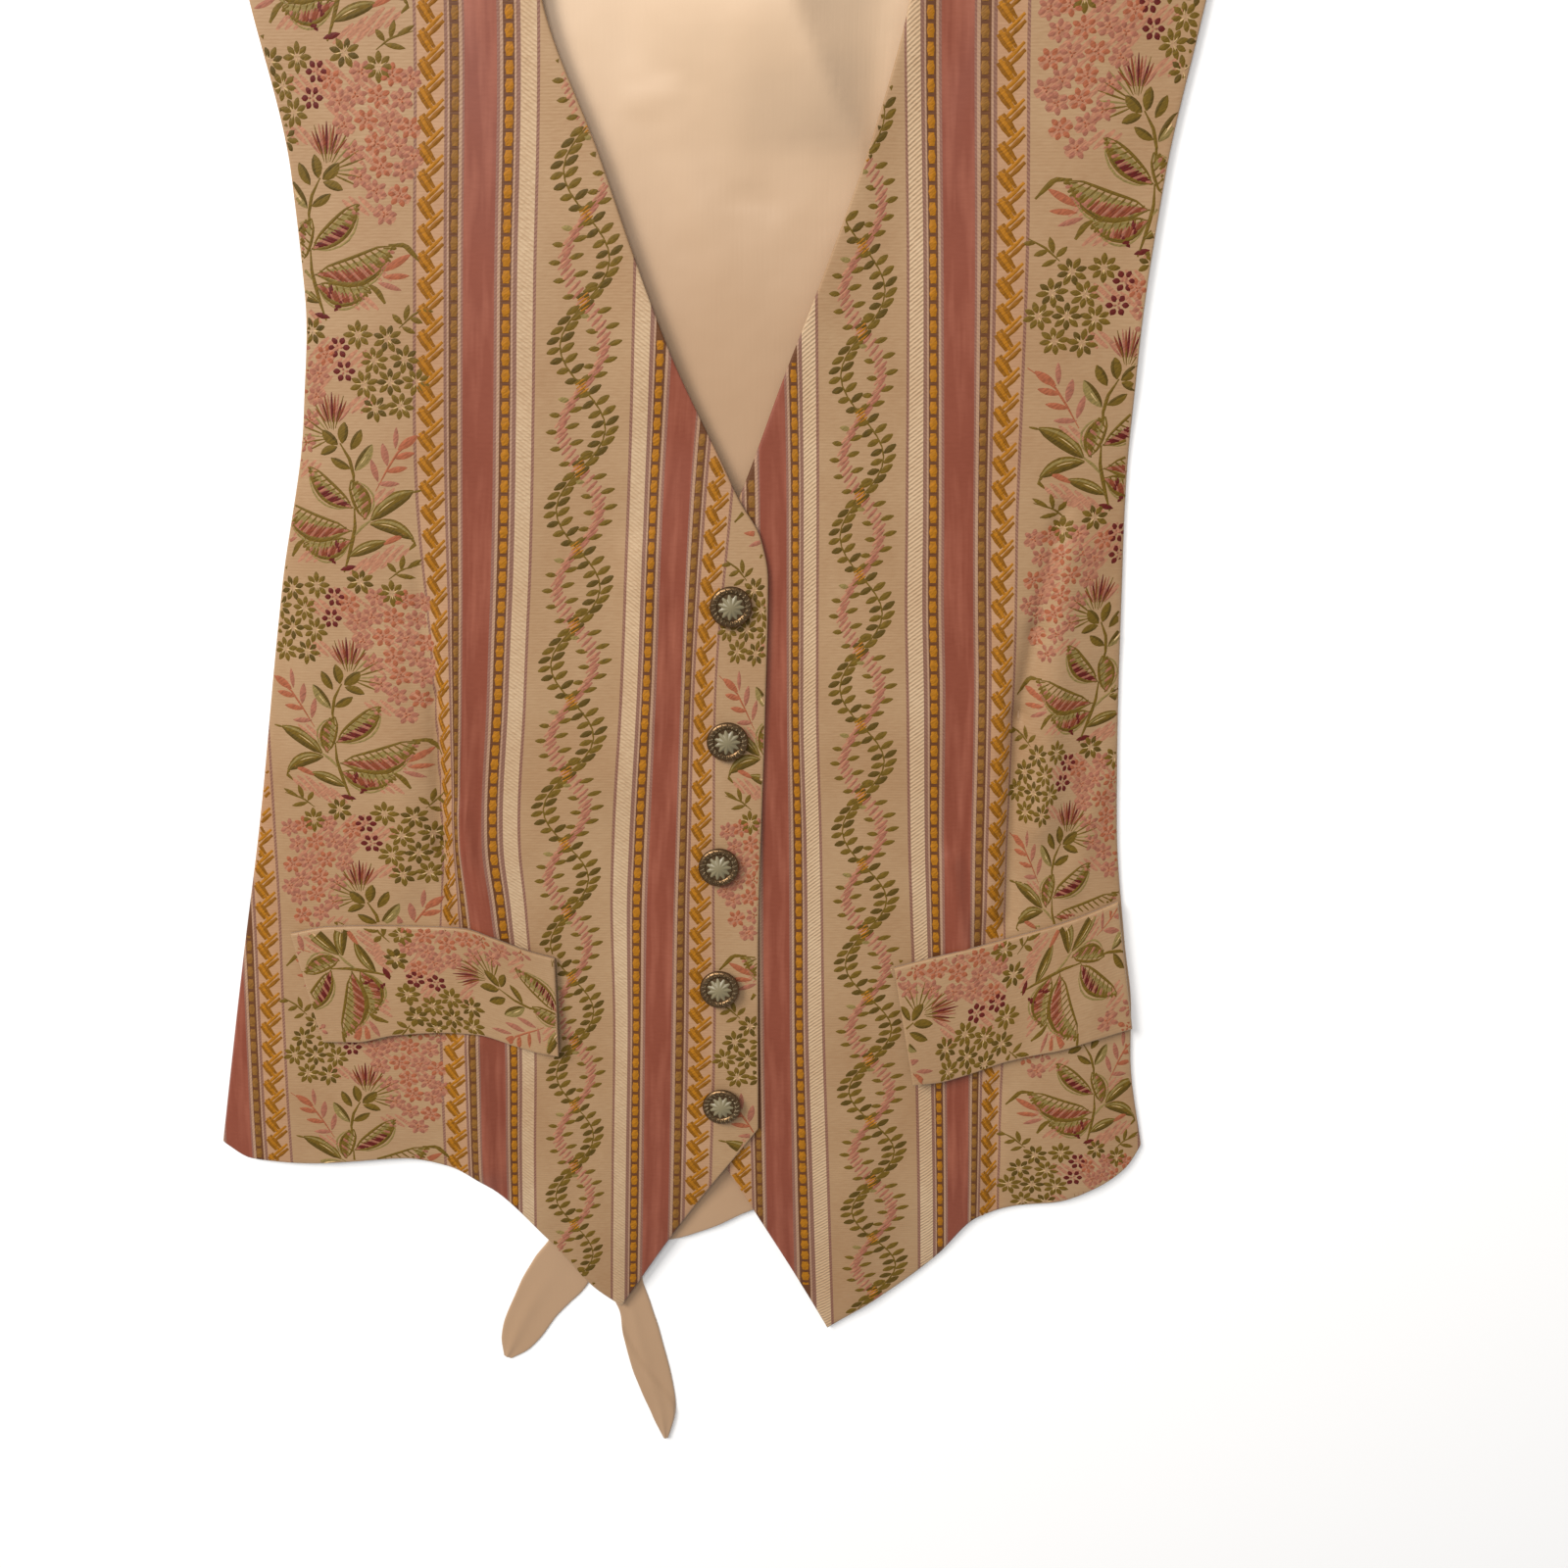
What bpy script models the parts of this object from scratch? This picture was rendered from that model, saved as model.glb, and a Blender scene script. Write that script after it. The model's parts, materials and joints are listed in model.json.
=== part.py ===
"""A brocade waistcoat lying flat on its back, buttoned, with its two back ties loose below the hem.

X runs across the garment, Y runs up towards the neck and the surface it lies on is Z = 0.
Sizes are real ones in millimetres and become metres where a mesh is made. Right and left are the
wearer's, so the right front is the one at -X. It laps over the left front and carries the buttons.
"""

import math
from collections import namedtuple

import bmesh
import bpy
from mathutils import Matrix, Vector
from mathutils.bvhtree import BVHTree

MM = 0.001

# The cloth: satin over lining for the back and the ties, brocade over lining for the fronts and flaps.
BACK_CLOTH = 1.6
FRONT_CLOTH = 2.0
FLAP_CLOTH = 2.2
TIE_CLOTH = 1.2
SEAM_GAP = 0.3

# How the layers stand on each other.
LAYER_GAP = 0.9
FRONT_LOFT = 1.8
LOFT_REACH = 38
HEM_LOFT_REACH = 45
TIE_LIFT = TIE_CLOTH + SEAM_GAP
TIE_LIFT_REACH = 42
TIE_LIFT_FADE = 40
LAP_REACH = 18
LAP_FROM_X = -30
OFF_BACK_MARGIN = 10
OFF_BACK_FADE = 30

# Side seams run from the hem to the underarm. There the front turns down beside the back's edge.
SIDE_TURN = 9
SIDE_TURN_STEPS = 3
BACK_SEAM_INSET = SIDE_TURN + SEAM_GAP
BACK_ARMHOLE_INSET = 2
UNDERARM_Y = 112
UNDERARM_FADE = 28

NECK_Y = 388.6
TIP_Y = 352
BACK_NECK_DIP = 22

EdgeRow = namedtuple("EdgeRow", "y x")
HemRow = namedtuple("HemRow", "x y")
Fold = namedtuple("Fold", "start end height reach")
FlapRow = namedtuple("FlapRow", "top_x top_y bottom_x bottom_y rise")
TieRow = namedtuple("TieRow", "x y half_width turned_over")
ButtonRow = namedtuple("ButtonRow", "x y tilt_deg lean_deg")


def rows(kind, *values):
    return [kind(*value) for value in values]


# Neckline and front edge of each front, from the shoulder down to where the hem starts.
RIGHT_EDGE = rows(
    EdgeRow,
    (NECK_Y, -53),
    (340, -49),
    (283, -42.5),
    (228, -23),
    (189, -10),
    (151, 4),
    (107, 24.5),
    (94, 30.5),
    (78, 39.5),
    (61, 42.5),
    (0, 41),
    (-108, 37.5),
    (-202, 37),
)
LEFT_EDGE = rows(
    EdgeRow,
    (NECK_Y, 107),
    (340, 104),
    (283, 97),
    (235, 84),
    (192, 68.5),
    (143, 49),
    (95, 30.5),
    (70, 18.5),
    (45, 9.5),
    (12, 6.3),
    (-80, 3.6),
    (-194, 3),
)

# Armhole and side seam, from the shoulder tip down to the hem's corner.
RIGHT_SIDE = rows(
    EdgeRow,
    (TIP_Y, -166),
    (283, -154.4),
    (220, -144.4),
    (176, -143.5),
    (129, -148.8),
    (56, -165.6),
    (-51, -186.7),
    (-120, -202),
    (-213, -221.6),
)
LEFT_SIDE = rows(
    EdgeRow,
    (TIP_Y, 220.5),
    (283, 210),
    (220, 199.2),
    (153, 193.6),
    (105, 192.6),
    (56, 193.8),
    (-51, 199),
    (-109, 206.5),
    (-139, 211.5),
    (-170, 213.5),
    (-215, 221.6),
)

# Hem of each front: the slanting front edge down to the point, then the wavy hem out to the side.
RIGHT_HEM_TO_POINT = rows(HemRow, (37, -202), (14, -234), (-9, -268.5), (-32, -305.5))
RIGHT_HEM_TO_SIDE = rows(
    HemRow,
    (-32, -305.5),
    (-45, -294.5),
    (-66, -266.5),
    (-94.5, -235.5),
    (-115, -224.5),
    (-134, -221),
    (-182, -224),
    (-208, -221.5),
    (-221.6, -213),
)
LEFT_HEM_TO_POINT = rows(
    HemRow, (3, -194), (20.6, -224.5), (49.2, -277), (60, -298), (71, -319.5)
)
LEFT_HEM_TO_SIDE = rows(
    HemRow,
    (71, -319.5),
    (105.6, -294),
    (124.7, -277),
    (143.4, -255.5),
    (162.4, -248.5),
    (181.5, -246.5),
    (200.3, -238.5),
    (215, -227),
    (221.6, -215),
)
BACK_HEM = rows(
    HemRow,
    (-212, -208),
    (-150, -212),
    (-106, -221),
    (-60, -250),
    (-14, -269),
    (8, -263.5),
    (33.8, -251.5),
    (60, -243),
    (110, -230),
    (212, -206),
)

# The largest folds: each is a soft ridge, or a trough where its height is negative.
FRONT_FOLDS = rows(
    Fold,
    ((-48, 300), (6, 148), 3.6, 30),
    ((-106, 58), (-110, -96), -1.5, 8),
    ((-122, 20), (-126, -80), 1.2, 14),
    ((-92, -62), (-68, -104), 2.4, 17),
    ((-40, -32), (-8, -22), 1.4, 30),
    ((-150, 130), (-178, -20), 1.2, 26),
    ((-40, -180), (-52, -262), 1.6, 24),
    ((-150, -190), (-156, -222), 1.3, 22),
    ((98, 290), (52, 160), 2.0, 26),
    ((164, 74), (151, -104), -2.2, 10),
    ((176, 70), (167, -60), 2.2, 14),
    ((118, -70), (132, -112), 1.8, 16),
    ((96, 40), (104, -60), 1.0, 26),
    ((148, -186), (152, -240), -1.5, 12),
    ((84, -210), (88, -300), 1.8, 24),
    ((180, -190), (192, -236), 1.4, 18),
)
BACK_FOLDS = rows(
    Fold,
    ((66, 372), (70, 246), 3.0, 24),
    ((20, 330), (30, 150), 1.0, 34),
)

# Pocket flaps, from the end nearest the side seam of the right front across, and the same for the left.
RIGHT_FLAP = rows(
    FlapRow,
    (-176, -102, -166, -156.5, 0.6),
    (-157.5, -98.5, -150.5, -156.5, 1.0),
    (-139.5, -98, -131.5, -152.5, 1.6),
    (-117.5, -98, -109.5, -151, 0.9),
    (-97.5, -98.5, -93, -152, 0.7),
    (-83, -103, -75.5, -157.5, 1.6),
    (-68, -109, -64, -160.5, 2.8),
    (-55.5, -113, -55.5, -161.5, 3.8),
)
LEFT_FLAP = rows(
    FlapRow,
    (99.5, -118, 109.5, -177, 4.6),
    (114, -114, 121, -176.5, 3.4),
    (133.5, -109, 135.5, -173, 1.8),
    (153, -104, 151, -167.5, 0.8),
    (167, -100, 166, -163.5, 0.8),
    (181.5, -95, 178.5, -160.5, 1.8),
    (192.5, -90.5, 193.5, -156, 1.4),
    (201, -87, 212, -151, 0.4),
)

# Back ties: sewn to the back at the waist, they run down under it and end below the hem.
RIGHT_TIE = rows(
    TieRow,
    (-67, -25, 15, 0),
    (-60, -100, 15, 0),
    (-50, -180, 15, 0),
    (-46, -240, 14, 0),
    (-54, -272, 13, 0),
    (-62, -288, 15, 0),
    (-69.5, -298.5, 13.7, 0),
    (-76, -309, 11.8, 0),
    (-82, -320.5, 10.6, 0),
    (-87, -330.5, 7.8, 0),
    (-91.5, -339, 2, 0),
)
LEFT_TIE = rows(
    TieRow,
    (82, -25, 15, 0),
    (58, -100, 15, 0),
    (22, -180, 15, 0),
    (-6, -235, 14, 0),
    (-22, -268, 11.5, 0),
    (-31, -290, 9.5, 0),
    (-25.5, -310, 8.2, 0),
    (-23, -324, 9.2, 0.1),
    (-19.5, -341.6, 9.3, 0.35),
    (-16, -356.7, 8.4, 0.65),
    (-12.8, -373, 6.2, 1),
    (-12, -388.6, 1.2, 1),
)
TIE_STATIONS = 26
TIE_TURNED_CLOTH = 1.1
TIE_SHARES = (-1, -0.5, 0, 0.5, 1)

# Buttons: a cast metal rim round a domed pearly face, on a short shank.
BUTTONS = rows(
    ButtonRow,
    (26.5, 50, 7, 60),
    (24.5, -9, 5, 40),
    (20, -67.5, 3, 120),
    (19.7, -127.5, 5, 200),
    (20, -188, 3, 250),
)
BUTTON_RADIUS = 9.0
BUTTON_RIM_TOP = 3.9
BUTTON_UNDERSIDE = 1.3
SHANK_RADIUS = 2.4
BEZEL_RADIUS = 6.0
FACE_SEAT = 2.4
FACE_RADIUS = 5.6
FACE_TOP = 4.7
BUTTON_SIDES = 20
BUTTON_CLEARANCE = 0.6
BUTTON_REACH = 4

FRONT_COLUMNS = 15
FRONT_ROWS = 42
BACK_COLUMNS = 20
BACK_ROWS = 28
FLAP_ROWS = 4
FLAP_REACH = 4


def smooth_step(share):
    share = min(1.0, max(0.0, share))
    return share * share * (3 - 2 * share)


def mix(a, b, share):
    return a + (b - a) * share


def through(table, at):
    """The smooth curve through a table of (key, value) rows, with no overshoot between them."""
    table = sorted((row[0], row[1]) for row in table)
    keys = [key for key, _ in table]
    at = min(max(at, keys[0]), keys[-1])
    slopes = [(b[1] - a[1]) / (b[0] - a[0]) for a, b in zip(table, table[1:])]
    span = max(i for i in range(len(slopes)) if keys[i] <= at or i == 0)

    def tangent(i):
        if i in (0, len(slopes)):
            return slopes[min(i, len(slopes) - 1)]
        before, after = slopes[i - 1], slopes[i]
        return 0 if before * after <= 0 else 2 * before * after / (before + after)

    width = keys[span + 1] - keys[span]
    t = (at - keys[span]) / width
    (_, low), (_, high) = table[span], table[span + 1]
    ease = t * t * (3 - 2 * t)
    bend = tangent(span) * t * (1 - t) ** 2 - tangent(span + 1) * t * t * (1 - t)
    return low + (high - low) * ease + width * bend


def bell(share):
    return 0.5 + 0.5 * math.cos(math.pi * min(1.0, share))


def distance_to(start, end, x, y):
    """Distance from (x, y) to the straight piece from start to end."""
    dx, dy = end[0] - start[0], end[1] - start[1]
    along = ((x - start[0]) * dx + (y - start[1]) * dy) / (dx * dx + dy * dy)
    along = min(1.0, max(0.0, along))
    return math.hypot(x - start[0] - along * dx, y - start[1] - along * dy)


def relief(folds, x, y):
    return sum(
        fold.height * bell(distance_to(fold.start, fold.end, x, y) / fold.reach)
        for fold in folds
    )


def tie_lift(x, y):
    """How far the ties below raise what lies on them."""
    nearest = min(
        distance_to(a[:2], b[:2], x, y)
        for tie in (RIGHT_TIE, LEFT_TIE)
        for a, b in zip(tie, tie[1:])
    )
    return TIE_LIFT * (1 - smooth_step((nearest - TIE_LIFT_REACH) / TIE_LIFT_FADE))


def back_underside(x, y):
    return tie_lift(x, y) + relief(BACK_FOLDS, x, y)


def support(x, y):
    """The top of what the fronts lie on: the back, and past its hem the ties or the bare surface."""
    off = smooth_step((through(BACK_HEM, x) - OFF_BACK_MARGIN - y) / OFF_BACK_FADE)
    return back_underside(x, y) + BACK_CLOTH * (1 - off)


def seam_share(y):
    """1 where the side seam joins front and back, 0 up in the armhole."""
    return 1 - smooth_step((y - UNDERARM_Y) / UNDERARM_FADE)


def front_underside(x, y, from_side, from_end):
    """Underside of a front lying on the back, from_side in from its side edge, from_end from its ends."""
    loft = FRONT_LOFT * smooth_step(from_side / LOFT_REACH)
    loft *= smooth_step(0.25 + from_end / HEM_LOFT_REACH)
    flat = support(x, y) + LAYER_GAP + loft
    flat += relief(FRONT_FOLDS, x, y) * smooth_step(from_side / SIDE_TURN - 0.5)
    turned = smooth_step(0.5 + 0.5 * from_side / SIDE_TURN) * 2 - 1
    return flat * mix(1.0, max(0.0, turned), seam_share(y))


Front = namedtuple("Front", "edge side to_point to_side")
RIGHT_FRONT = Front(RIGHT_EDGE, RIGHT_SIDE, RIGHT_HEM_TO_POINT, RIGHT_HEM_TO_SIDE)
LEFT_FRONT = Front(LEFT_EDGE, LEFT_SIDE, LEFT_HEM_TO_POINT, LEFT_HEM_TO_SIDE)


def hem_at(front, x):
    point_x, edge_x = front.to_side[0].x, front.edge[-1].x
    toward_edge = (x - point_x) * (edge_x - point_x) > 0
    return through(front.to_point if toward_edge else front.to_side, x)


def top_of(panel, x, y, reach):
    """The highest the panel comes within reach of (x, y)."""
    corners = [vertex.co for vertex in panel.data.vertices]
    tree = BVHTree.FromPolygons(corners, [face.vertices for face in panel.data.polygons])
    heights = []
    for step_x in (-reach, 0, reach):
        for step_y in (-reach, 0, reach):
            above = Vector((x + step_x, y + step_y, 100)) * MM
            hit = tree.ray_cast(above, Vector((0, 0, -1)))[0]
            if hit is not None:
                heights.append(hit.z / MM)
    return max(heights, default=0.0)


def front_columns(front):
    """Shares of the way across, with one on the hem's point and closer ones at the turned side."""
    width = abs(front.side[-1].x - front.edge[-1].x) - SIDE_TURN
    point = abs(front.to_side[0].x - front.edge[-1].x) / width
    shares = [i / FRONT_COLUMNS for i in range(FRONT_COLUMNS + 1)]
    nearest = min(range(1, FRONT_COLUMNS), key=lambda i: abs(shares[i] - point))
    shares[nearest] = point
    return shares


def front_grid(front, lies_on=None):
    """Rows from shoulder to hem, each across from the front edge to the side edge."""
    toward = 1 if front is LEFT_FRONT else -1
    last_edge, last_side = front.edge[-1], front.side[-1]
    columns = [(share, 0.0) for share in front_columns(front)]
    columns += [
        (1.0, SIDE_TURN * (i + 1) / SIDE_TURN_STEPS) for i in range(SIDE_TURN_STEPS)
    ]
    grid = []
    for row in range(FRONT_ROWS + 1):
        down = row / FRONT_ROWS
        edge_y = mix(front.edge[0].y, last_edge.y, down)
        side_y = mix(front.side[0].y, last_side.y, down)
        inner, outer = through(front.edge, edge_y), through(front.side, side_y)
        hem_pull = max(0.0, (down - 0.45) / 0.55) ** 2
        line = []
        for share, past in columns:
            x = mix(inner, outer - toward * SIDE_TURN, share) + toward * past
            end_x = mix(last_edge.x, last_side.x - toward * SIDE_TURN, share)
            end_x += toward * past
            across = (x - inner) / (outer - inner)
            end_across = (end_x - last_edge.x) / (last_side.x - last_edge.x)
            excess = hem_at(front, end_x) - mix(last_edge.y, last_side.y, end_across)
            y = mix(edge_y, side_y, across) + excess * hem_pull
            from_side = abs(outer - x)
            from_end = min(y - hem_at(front, x), NECK_Y - y)
            z = front_underside(x, y, from_side, from_end)
            if lies_on and x > LAP_FROM_X:
                z = max(z, top_of(lies_on, x, y, LAP_REACH) + SEAM_GAP)
            line.append((x, y, z))
        grid.append(line)
    return grid


def back_top_y(x):
    """Shoulder seams and the back neckline, seen from the front."""
    left, right = RIGHT_EDGE[0].x, LEFT_EDGE[0].x
    if left < x < right:
        half = (right - left) / 2
        return NECK_Y - BACK_NECK_DIP * (1 - abs((x - left - half) / half) ** 2.4)
    neck, tip = (left, RIGHT_SIDE[0].x) if x <= left else (right, LEFT_SIDE[0].x)
    return mix(NECK_Y, TIP_Y, (x - neck) / (tip - neck))


def back_grid():
    shares = [i / BACK_COLUMNS for i in range(BACK_COLUMNS + 1)]
    top_left = RIGHT_SIDE[0].x + BACK_ARMHOLE_INSET
    top_right = LEFT_SIDE[0].x - BACK_ARMHOLE_INSET
    for neck in (RIGHT_EDGE[0].x, LEFT_EDGE[0].x):
        share = (neck - top_left) / (top_right - top_left)
        shares[min(range(1, BACK_COLUMNS), key=lambda i: abs(shares[i] - share))] = share
    grid = []
    for row in range(BACK_ROWS + 1):
        down = row / BACK_ROWS
        side_y = mix(TIP_Y, BACK_HEM[0].y, down)
        inset = mix(BACK_ARMHOLE_INSET, BACK_SEAM_INSET, seam_share(side_y))
        left, right = through(RIGHT_SIDE, side_y) + inset, through(LEFT_SIDE, side_y) - inset
        line = []
        for share in shares:
            x = mix(left, right, share)
            rise = back_top_y(mix(top_left, top_right, share)) - TIP_Y
            drop = through(BACK_HEM, mix(BACK_HEM[0].x, BACK_HEM[-1].x, share)) - BACK_HEM[0].y
            y = side_y + rise * max(0.0, 1 - down / 0.4) ** 2
            y += drop * max(0.0, (down - 0.5) / 0.5) ** 2
            line.append((x, y, back_underside(x, y)))
        grid.append(line)
    return grid


def flap_grid(flap, front):
    """Rows from the sewn top edge to the free lower edge, which waves off the front."""
    grid = []
    for row in range(FLAP_ROWS + 1):
        down = row / FLAP_ROWS
        line = []
        for cut in flap:
            x = mix(cut.top_x, cut.bottom_x, down)
            y = mix(cut.top_y, cut.bottom_y, down)
            z = top_of(front, x, y, FLAP_REACH) + SEAM_GAP
            line.append((x, y, z + cut.rise * mix(0.25, 1.0, smooth_step(down))))
        grid.append(line)
    return grid


def tie_grid(tie):
    """Rows along the tie, each across it, with the height of its upper face in place of a wall."""
    steps = [math.dist(a[:2], b[:2]) for a, b in zip(tie, tie[1:])]
    along = [sum(steps[:i]) for i in range(len(tie))]
    columns = {name: list(zip(along, [getattr(row, name) for row in tie])) for name in TieRow._fields}
    grid = []
    for station in range(TIE_STATIONS + 1):
        at = along[-1] * station / TIE_STATIONS
        x, y, half, turned = (through(columns[name], at) for name in TieRow._fields)
        near = [max(0.0, at - 1.5), min(along[-1], at + 1.5)]
        ahead = Vector([through(columns[name], near[1]) - through(columns[name], near[0]) for name in ("x", "y")])
        side = Vector((-ahead.y, ahead.x)).normalized() * half
        line = []
        for share in TIE_SHARES:
            folded = smooth_step((share + turned * 2 - 1) / 0.5) if turned > 0 else 0.0
            line.append((x - side.x * share, y - side.y * share, TIE_CLOTH + TIE_TURNED_CLOTH * folded))
        grid.append(line)
    return grid


def named_material(name, colour, roughness, metallic=0.0):
    material = bpy.data.materials.get(name)
    if material is None:
        material = bpy.data.materials.new(name)
        material.use_nodes = True
        shader = material.node_tree.nodes["Principled BSDF"]
        shader.inputs["Base Color"].default_value = (*colour, 1)
        shader.inputs["Roughness"].default_value = roughness
        shader.inputs["Metallic"].default_value = metallic
    return material


def brocade():
    return named_material("brocade", (0.55, 0.38, 0.22), 0.6)


def satin():
    return named_material("satin", (0.68, 0.53, 0.36), 0.4)


def add_object(name, mesh, material):
    mesh.materials.append(material)
    made = bpy.data.objects.new(name, mesh)
    bpy.context.scene.collection.objects.link(made)
    return made


def wall(name, lower, upper, material):
    """A closed sheet between two grids of points that lie over each other."""
    count_down, count_across = len(lower), len(lower[0])
    points = [Vector(p) * MM for grid in (lower, upper) for line in grid for p in line]
    offset = count_down * count_across

    def index(row, column):
        return row * count_across + column

    faces = []
    for row in range(count_down - 1):
        for column in range(count_across - 1):
            a, b = index(row, column), index(row, column + 1)
            c, d = index(row + 1, column + 1), index(row + 1, column)
            for triangle in ((a, b, c), (a, c, d)):
                faces.append(triangle)
                faces.append([offset + i for i in reversed(triangle)])
    rim = [index(0, c) for c in range(count_across)]
    rim += [index(r, count_across - 1) for r in range(1, count_down)]
    rim += [index(count_down - 1, c) for c in range(count_across - 2, -1, -1)]
    rim += [index(r, 0) for r in range(count_down - 2, 0, -1)]
    for a, b in zip(rim, rim[1:] + rim[:1]):
        faces.append((b, a, offset + a, offset + b))
    mesh = bpy.data.meshes.new(name)
    mesh.from_pydata(points, [], faces)
    shape = bmesh.new()
    shape.from_mesh(mesh)
    bmesh.ops.recalc_face_normals(shape, faces=shape.faces)
    shape.to_mesh(mesh)
    shape.free()
    return add_object(name, mesh, material)


def sheet(name, grid, thickness, material):
    upper = [[(x, y, z + thickness) for x, y, z in line] for line in grid]
    return wall(name, grid, upper, material)


def tie(name, table):
    upper = tie_grid(table)
    lower = [[(x, y, 0.0) for x, y, _ in line] for line in upper]
    return wall(name, lower, upper, satin())


def turned(name, profile, material):
    """A solid turned round Z from (radius, height) points that start and end on the axis."""
    shape = bmesh.new()
    rings = []
    for radius, height in profile:
        if radius == 0:
            rings.append([shape.verts.new((0, 0, height * MM))])
            continue
        angles = [2 * math.pi * i / BUTTON_SIDES for i in range(BUTTON_SIDES)]
        rings.append(
            [
                shape.verts.new((radius * MM * math.cos(a), radius * MM * math.sin(a), height * MM))
                for a in angles
            ]
        )
    for low, high in zip(rings, rings[1:]):
        for i in range(BUTTON_SIDES):
            j = (i + 1) % BUTTON_SIDES
            corners = [low[i % len(low)], low[j % len(low)], high[j % len(high)], high[i % len(high)]]
            shape.faces.new(list(dict.fromkeys(corners)))
    bmesh.ops.recalc_face_normals(shape, faces=shape.faces)
    mesh = bpy.data.meshes.new(name)
    shape.to_mesh(mesh)
    shape.free()
    mesh.shade_smooth()
    mesh.set_sharp_from_angle(angle=math.radians(35))
    return add_object(name, mesh, material)


def button(number, row, front):
    """Rim and face of one button, tilted a little on its shank above the front."""
    rim_profile = (
        (0, 0),
        (SHANK_RADIUS, 0),
        (SHANK_RADIUS, BUTTON_UNDERSIDE),
        (BUTTON_RADIUS - 1.2, BUTTON_UNDERSIDE + 0.2),
        (BUTTON_RADIUS, BUTTON_UNDERSIDE + 1.2),
        (BUTTON_RADIUS - 0.7, BUTTON_RIM_TOP - 0.4),
        (BUTTON_RADIUS - 1.8, BUTTON_RIM_TOP),
        (BEZEL_RADIUS, BUTTON_RIM_TOP - 0.5),
        (BEZEL_RADIUS, FACE_SEAT),
        (0, FACE_SEAT),
    )
    face_profile = (
        (0, FACE_SEAT + SEAM_GAP),
        (FACE_RADIUS, FACE_SEAT + SEAM_GAP),
        (FACE_RADIUS, BUTTON_RIM_TOP - 0.6),
        (FACE_RADIUS * 0.8, FACE_TOP - 0.4),
        (FACE_RADIUS * 0.4, FACE_TOP - 0.1),
        (0, FACE_TOP),
    )
    silver = named_material("antique_silver", (0.35, 0.31, 0.24), 0.35, 1.0)
    pearl = named_material("pearl", (0.72, 0.70, 0.62), 0.25)
    base = top_of(front, row.x, row.y, BUTTON_REACH) + BUTTON_CLEARANCE
    place = Matrix.Translation(Vector((row.x, row.y, base)) * MM)
    lean = Matrix.Rotation(math.radians(row.lean_deg), 4, "Z")
    tilt = Matrix.Rotation(math.radians(row.tilt_deg), 4, "X")
    for made in (
        turned(f"button_{number}", rim_profile, silver),
        turned(f"button_pearl_{number}", face_profile, pearl),
    ):
        made.matrix_world = place @ lean @ tilt @ lean.inverted()


def clear_scene():
    for obj in list(bpy.data.objects):
        bpy.data.objects.remove(obj)


def build():
    clear_scene()
    sheet("back", back_grid(), BACK_CLOTH, satin())
    left = sheet("front_left", front_grid(LEFT_FRONT), FRONT_CLOTH, brocade())
    right = sheet("front_right", front_grid(RIGHT_FRONT, left), FRONT_CLOTH, brocade())
    sheet("flap_left", flap_grid(LEFT_FLAP, left), FLAP_CLOTH, brocade())
    sheet("flap_right", flap_grid(RIGHT_FLAP, right), FLAP_CLOTH, brocade())
    tie("tie_left", LEFT_TIE)
    tie("tie_right", RIGHT_TIE)
    for number, row in enumerate(BUTTONS, start=1):
        button(number, row, right)


build()
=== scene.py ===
"""The looks of a brocade waistcoat lying flat on its back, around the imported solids.

Sizes in tables are millimetres in the row frame: X across, Y up towards the neck, Z off the surface.
Right and left are the wearer's, so the right front lies at -X and laps over the left one.
"""

import json
import math
from collections import namedtuple
from functools import partial

import bpy
import numpy as np
from mathutils import Matrix, Vector, noise
from mathutils.bvhtree import BVHTree

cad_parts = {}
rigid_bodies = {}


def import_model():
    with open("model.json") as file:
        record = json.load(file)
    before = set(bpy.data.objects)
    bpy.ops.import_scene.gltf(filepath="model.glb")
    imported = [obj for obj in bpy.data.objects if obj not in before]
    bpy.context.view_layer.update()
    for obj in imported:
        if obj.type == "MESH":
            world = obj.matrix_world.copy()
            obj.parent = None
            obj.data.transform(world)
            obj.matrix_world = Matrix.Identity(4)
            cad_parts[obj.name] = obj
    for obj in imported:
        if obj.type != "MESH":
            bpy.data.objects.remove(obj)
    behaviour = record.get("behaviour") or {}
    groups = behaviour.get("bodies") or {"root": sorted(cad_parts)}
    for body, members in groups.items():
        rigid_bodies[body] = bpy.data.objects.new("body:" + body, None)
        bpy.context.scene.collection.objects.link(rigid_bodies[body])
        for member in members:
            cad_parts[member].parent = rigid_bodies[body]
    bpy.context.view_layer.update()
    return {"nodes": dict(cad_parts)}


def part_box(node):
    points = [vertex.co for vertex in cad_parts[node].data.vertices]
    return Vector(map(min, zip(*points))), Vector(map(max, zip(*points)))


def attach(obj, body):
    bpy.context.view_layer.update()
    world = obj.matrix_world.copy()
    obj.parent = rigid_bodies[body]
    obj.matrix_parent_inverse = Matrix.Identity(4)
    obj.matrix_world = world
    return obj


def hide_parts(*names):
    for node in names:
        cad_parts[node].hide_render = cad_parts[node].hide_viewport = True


for leftover in list(bpy.data.objects):
    bpy.data.objects.remove(leftover)
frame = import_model()

# Camera, surface and light
# The garment is seen from the front, a little from the neck's side, on a plain pale surface.
# One broad soft light hangs over its upper left, with a weak one past its neck and a pale room.

MM = 0.001
CAMERA_TILT = 17.95
CAMERA_AT = (49.2, 175.35, 642.1)
CAMERA_LENS = 34.67


def placed(name, data):
    made = bpy.data.objects.new(name, data)
    bpy.context.scene.collection.objects.link(made)
    return made


camera = placed("camera", bpy.data.cameras.new("camera"))
camera.data.lens = CAMERA_LENS
camera.data.sensor_width = 36
camera.location = Vector(CAMERA_AT) * MM
camera.rotation_euler = (math.radians(-CAMERA_TILT), 0, 0)
bpy.context.scene.camera = camera
bpy.context.scene.view_settings.view_transform = "Standard"


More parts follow.
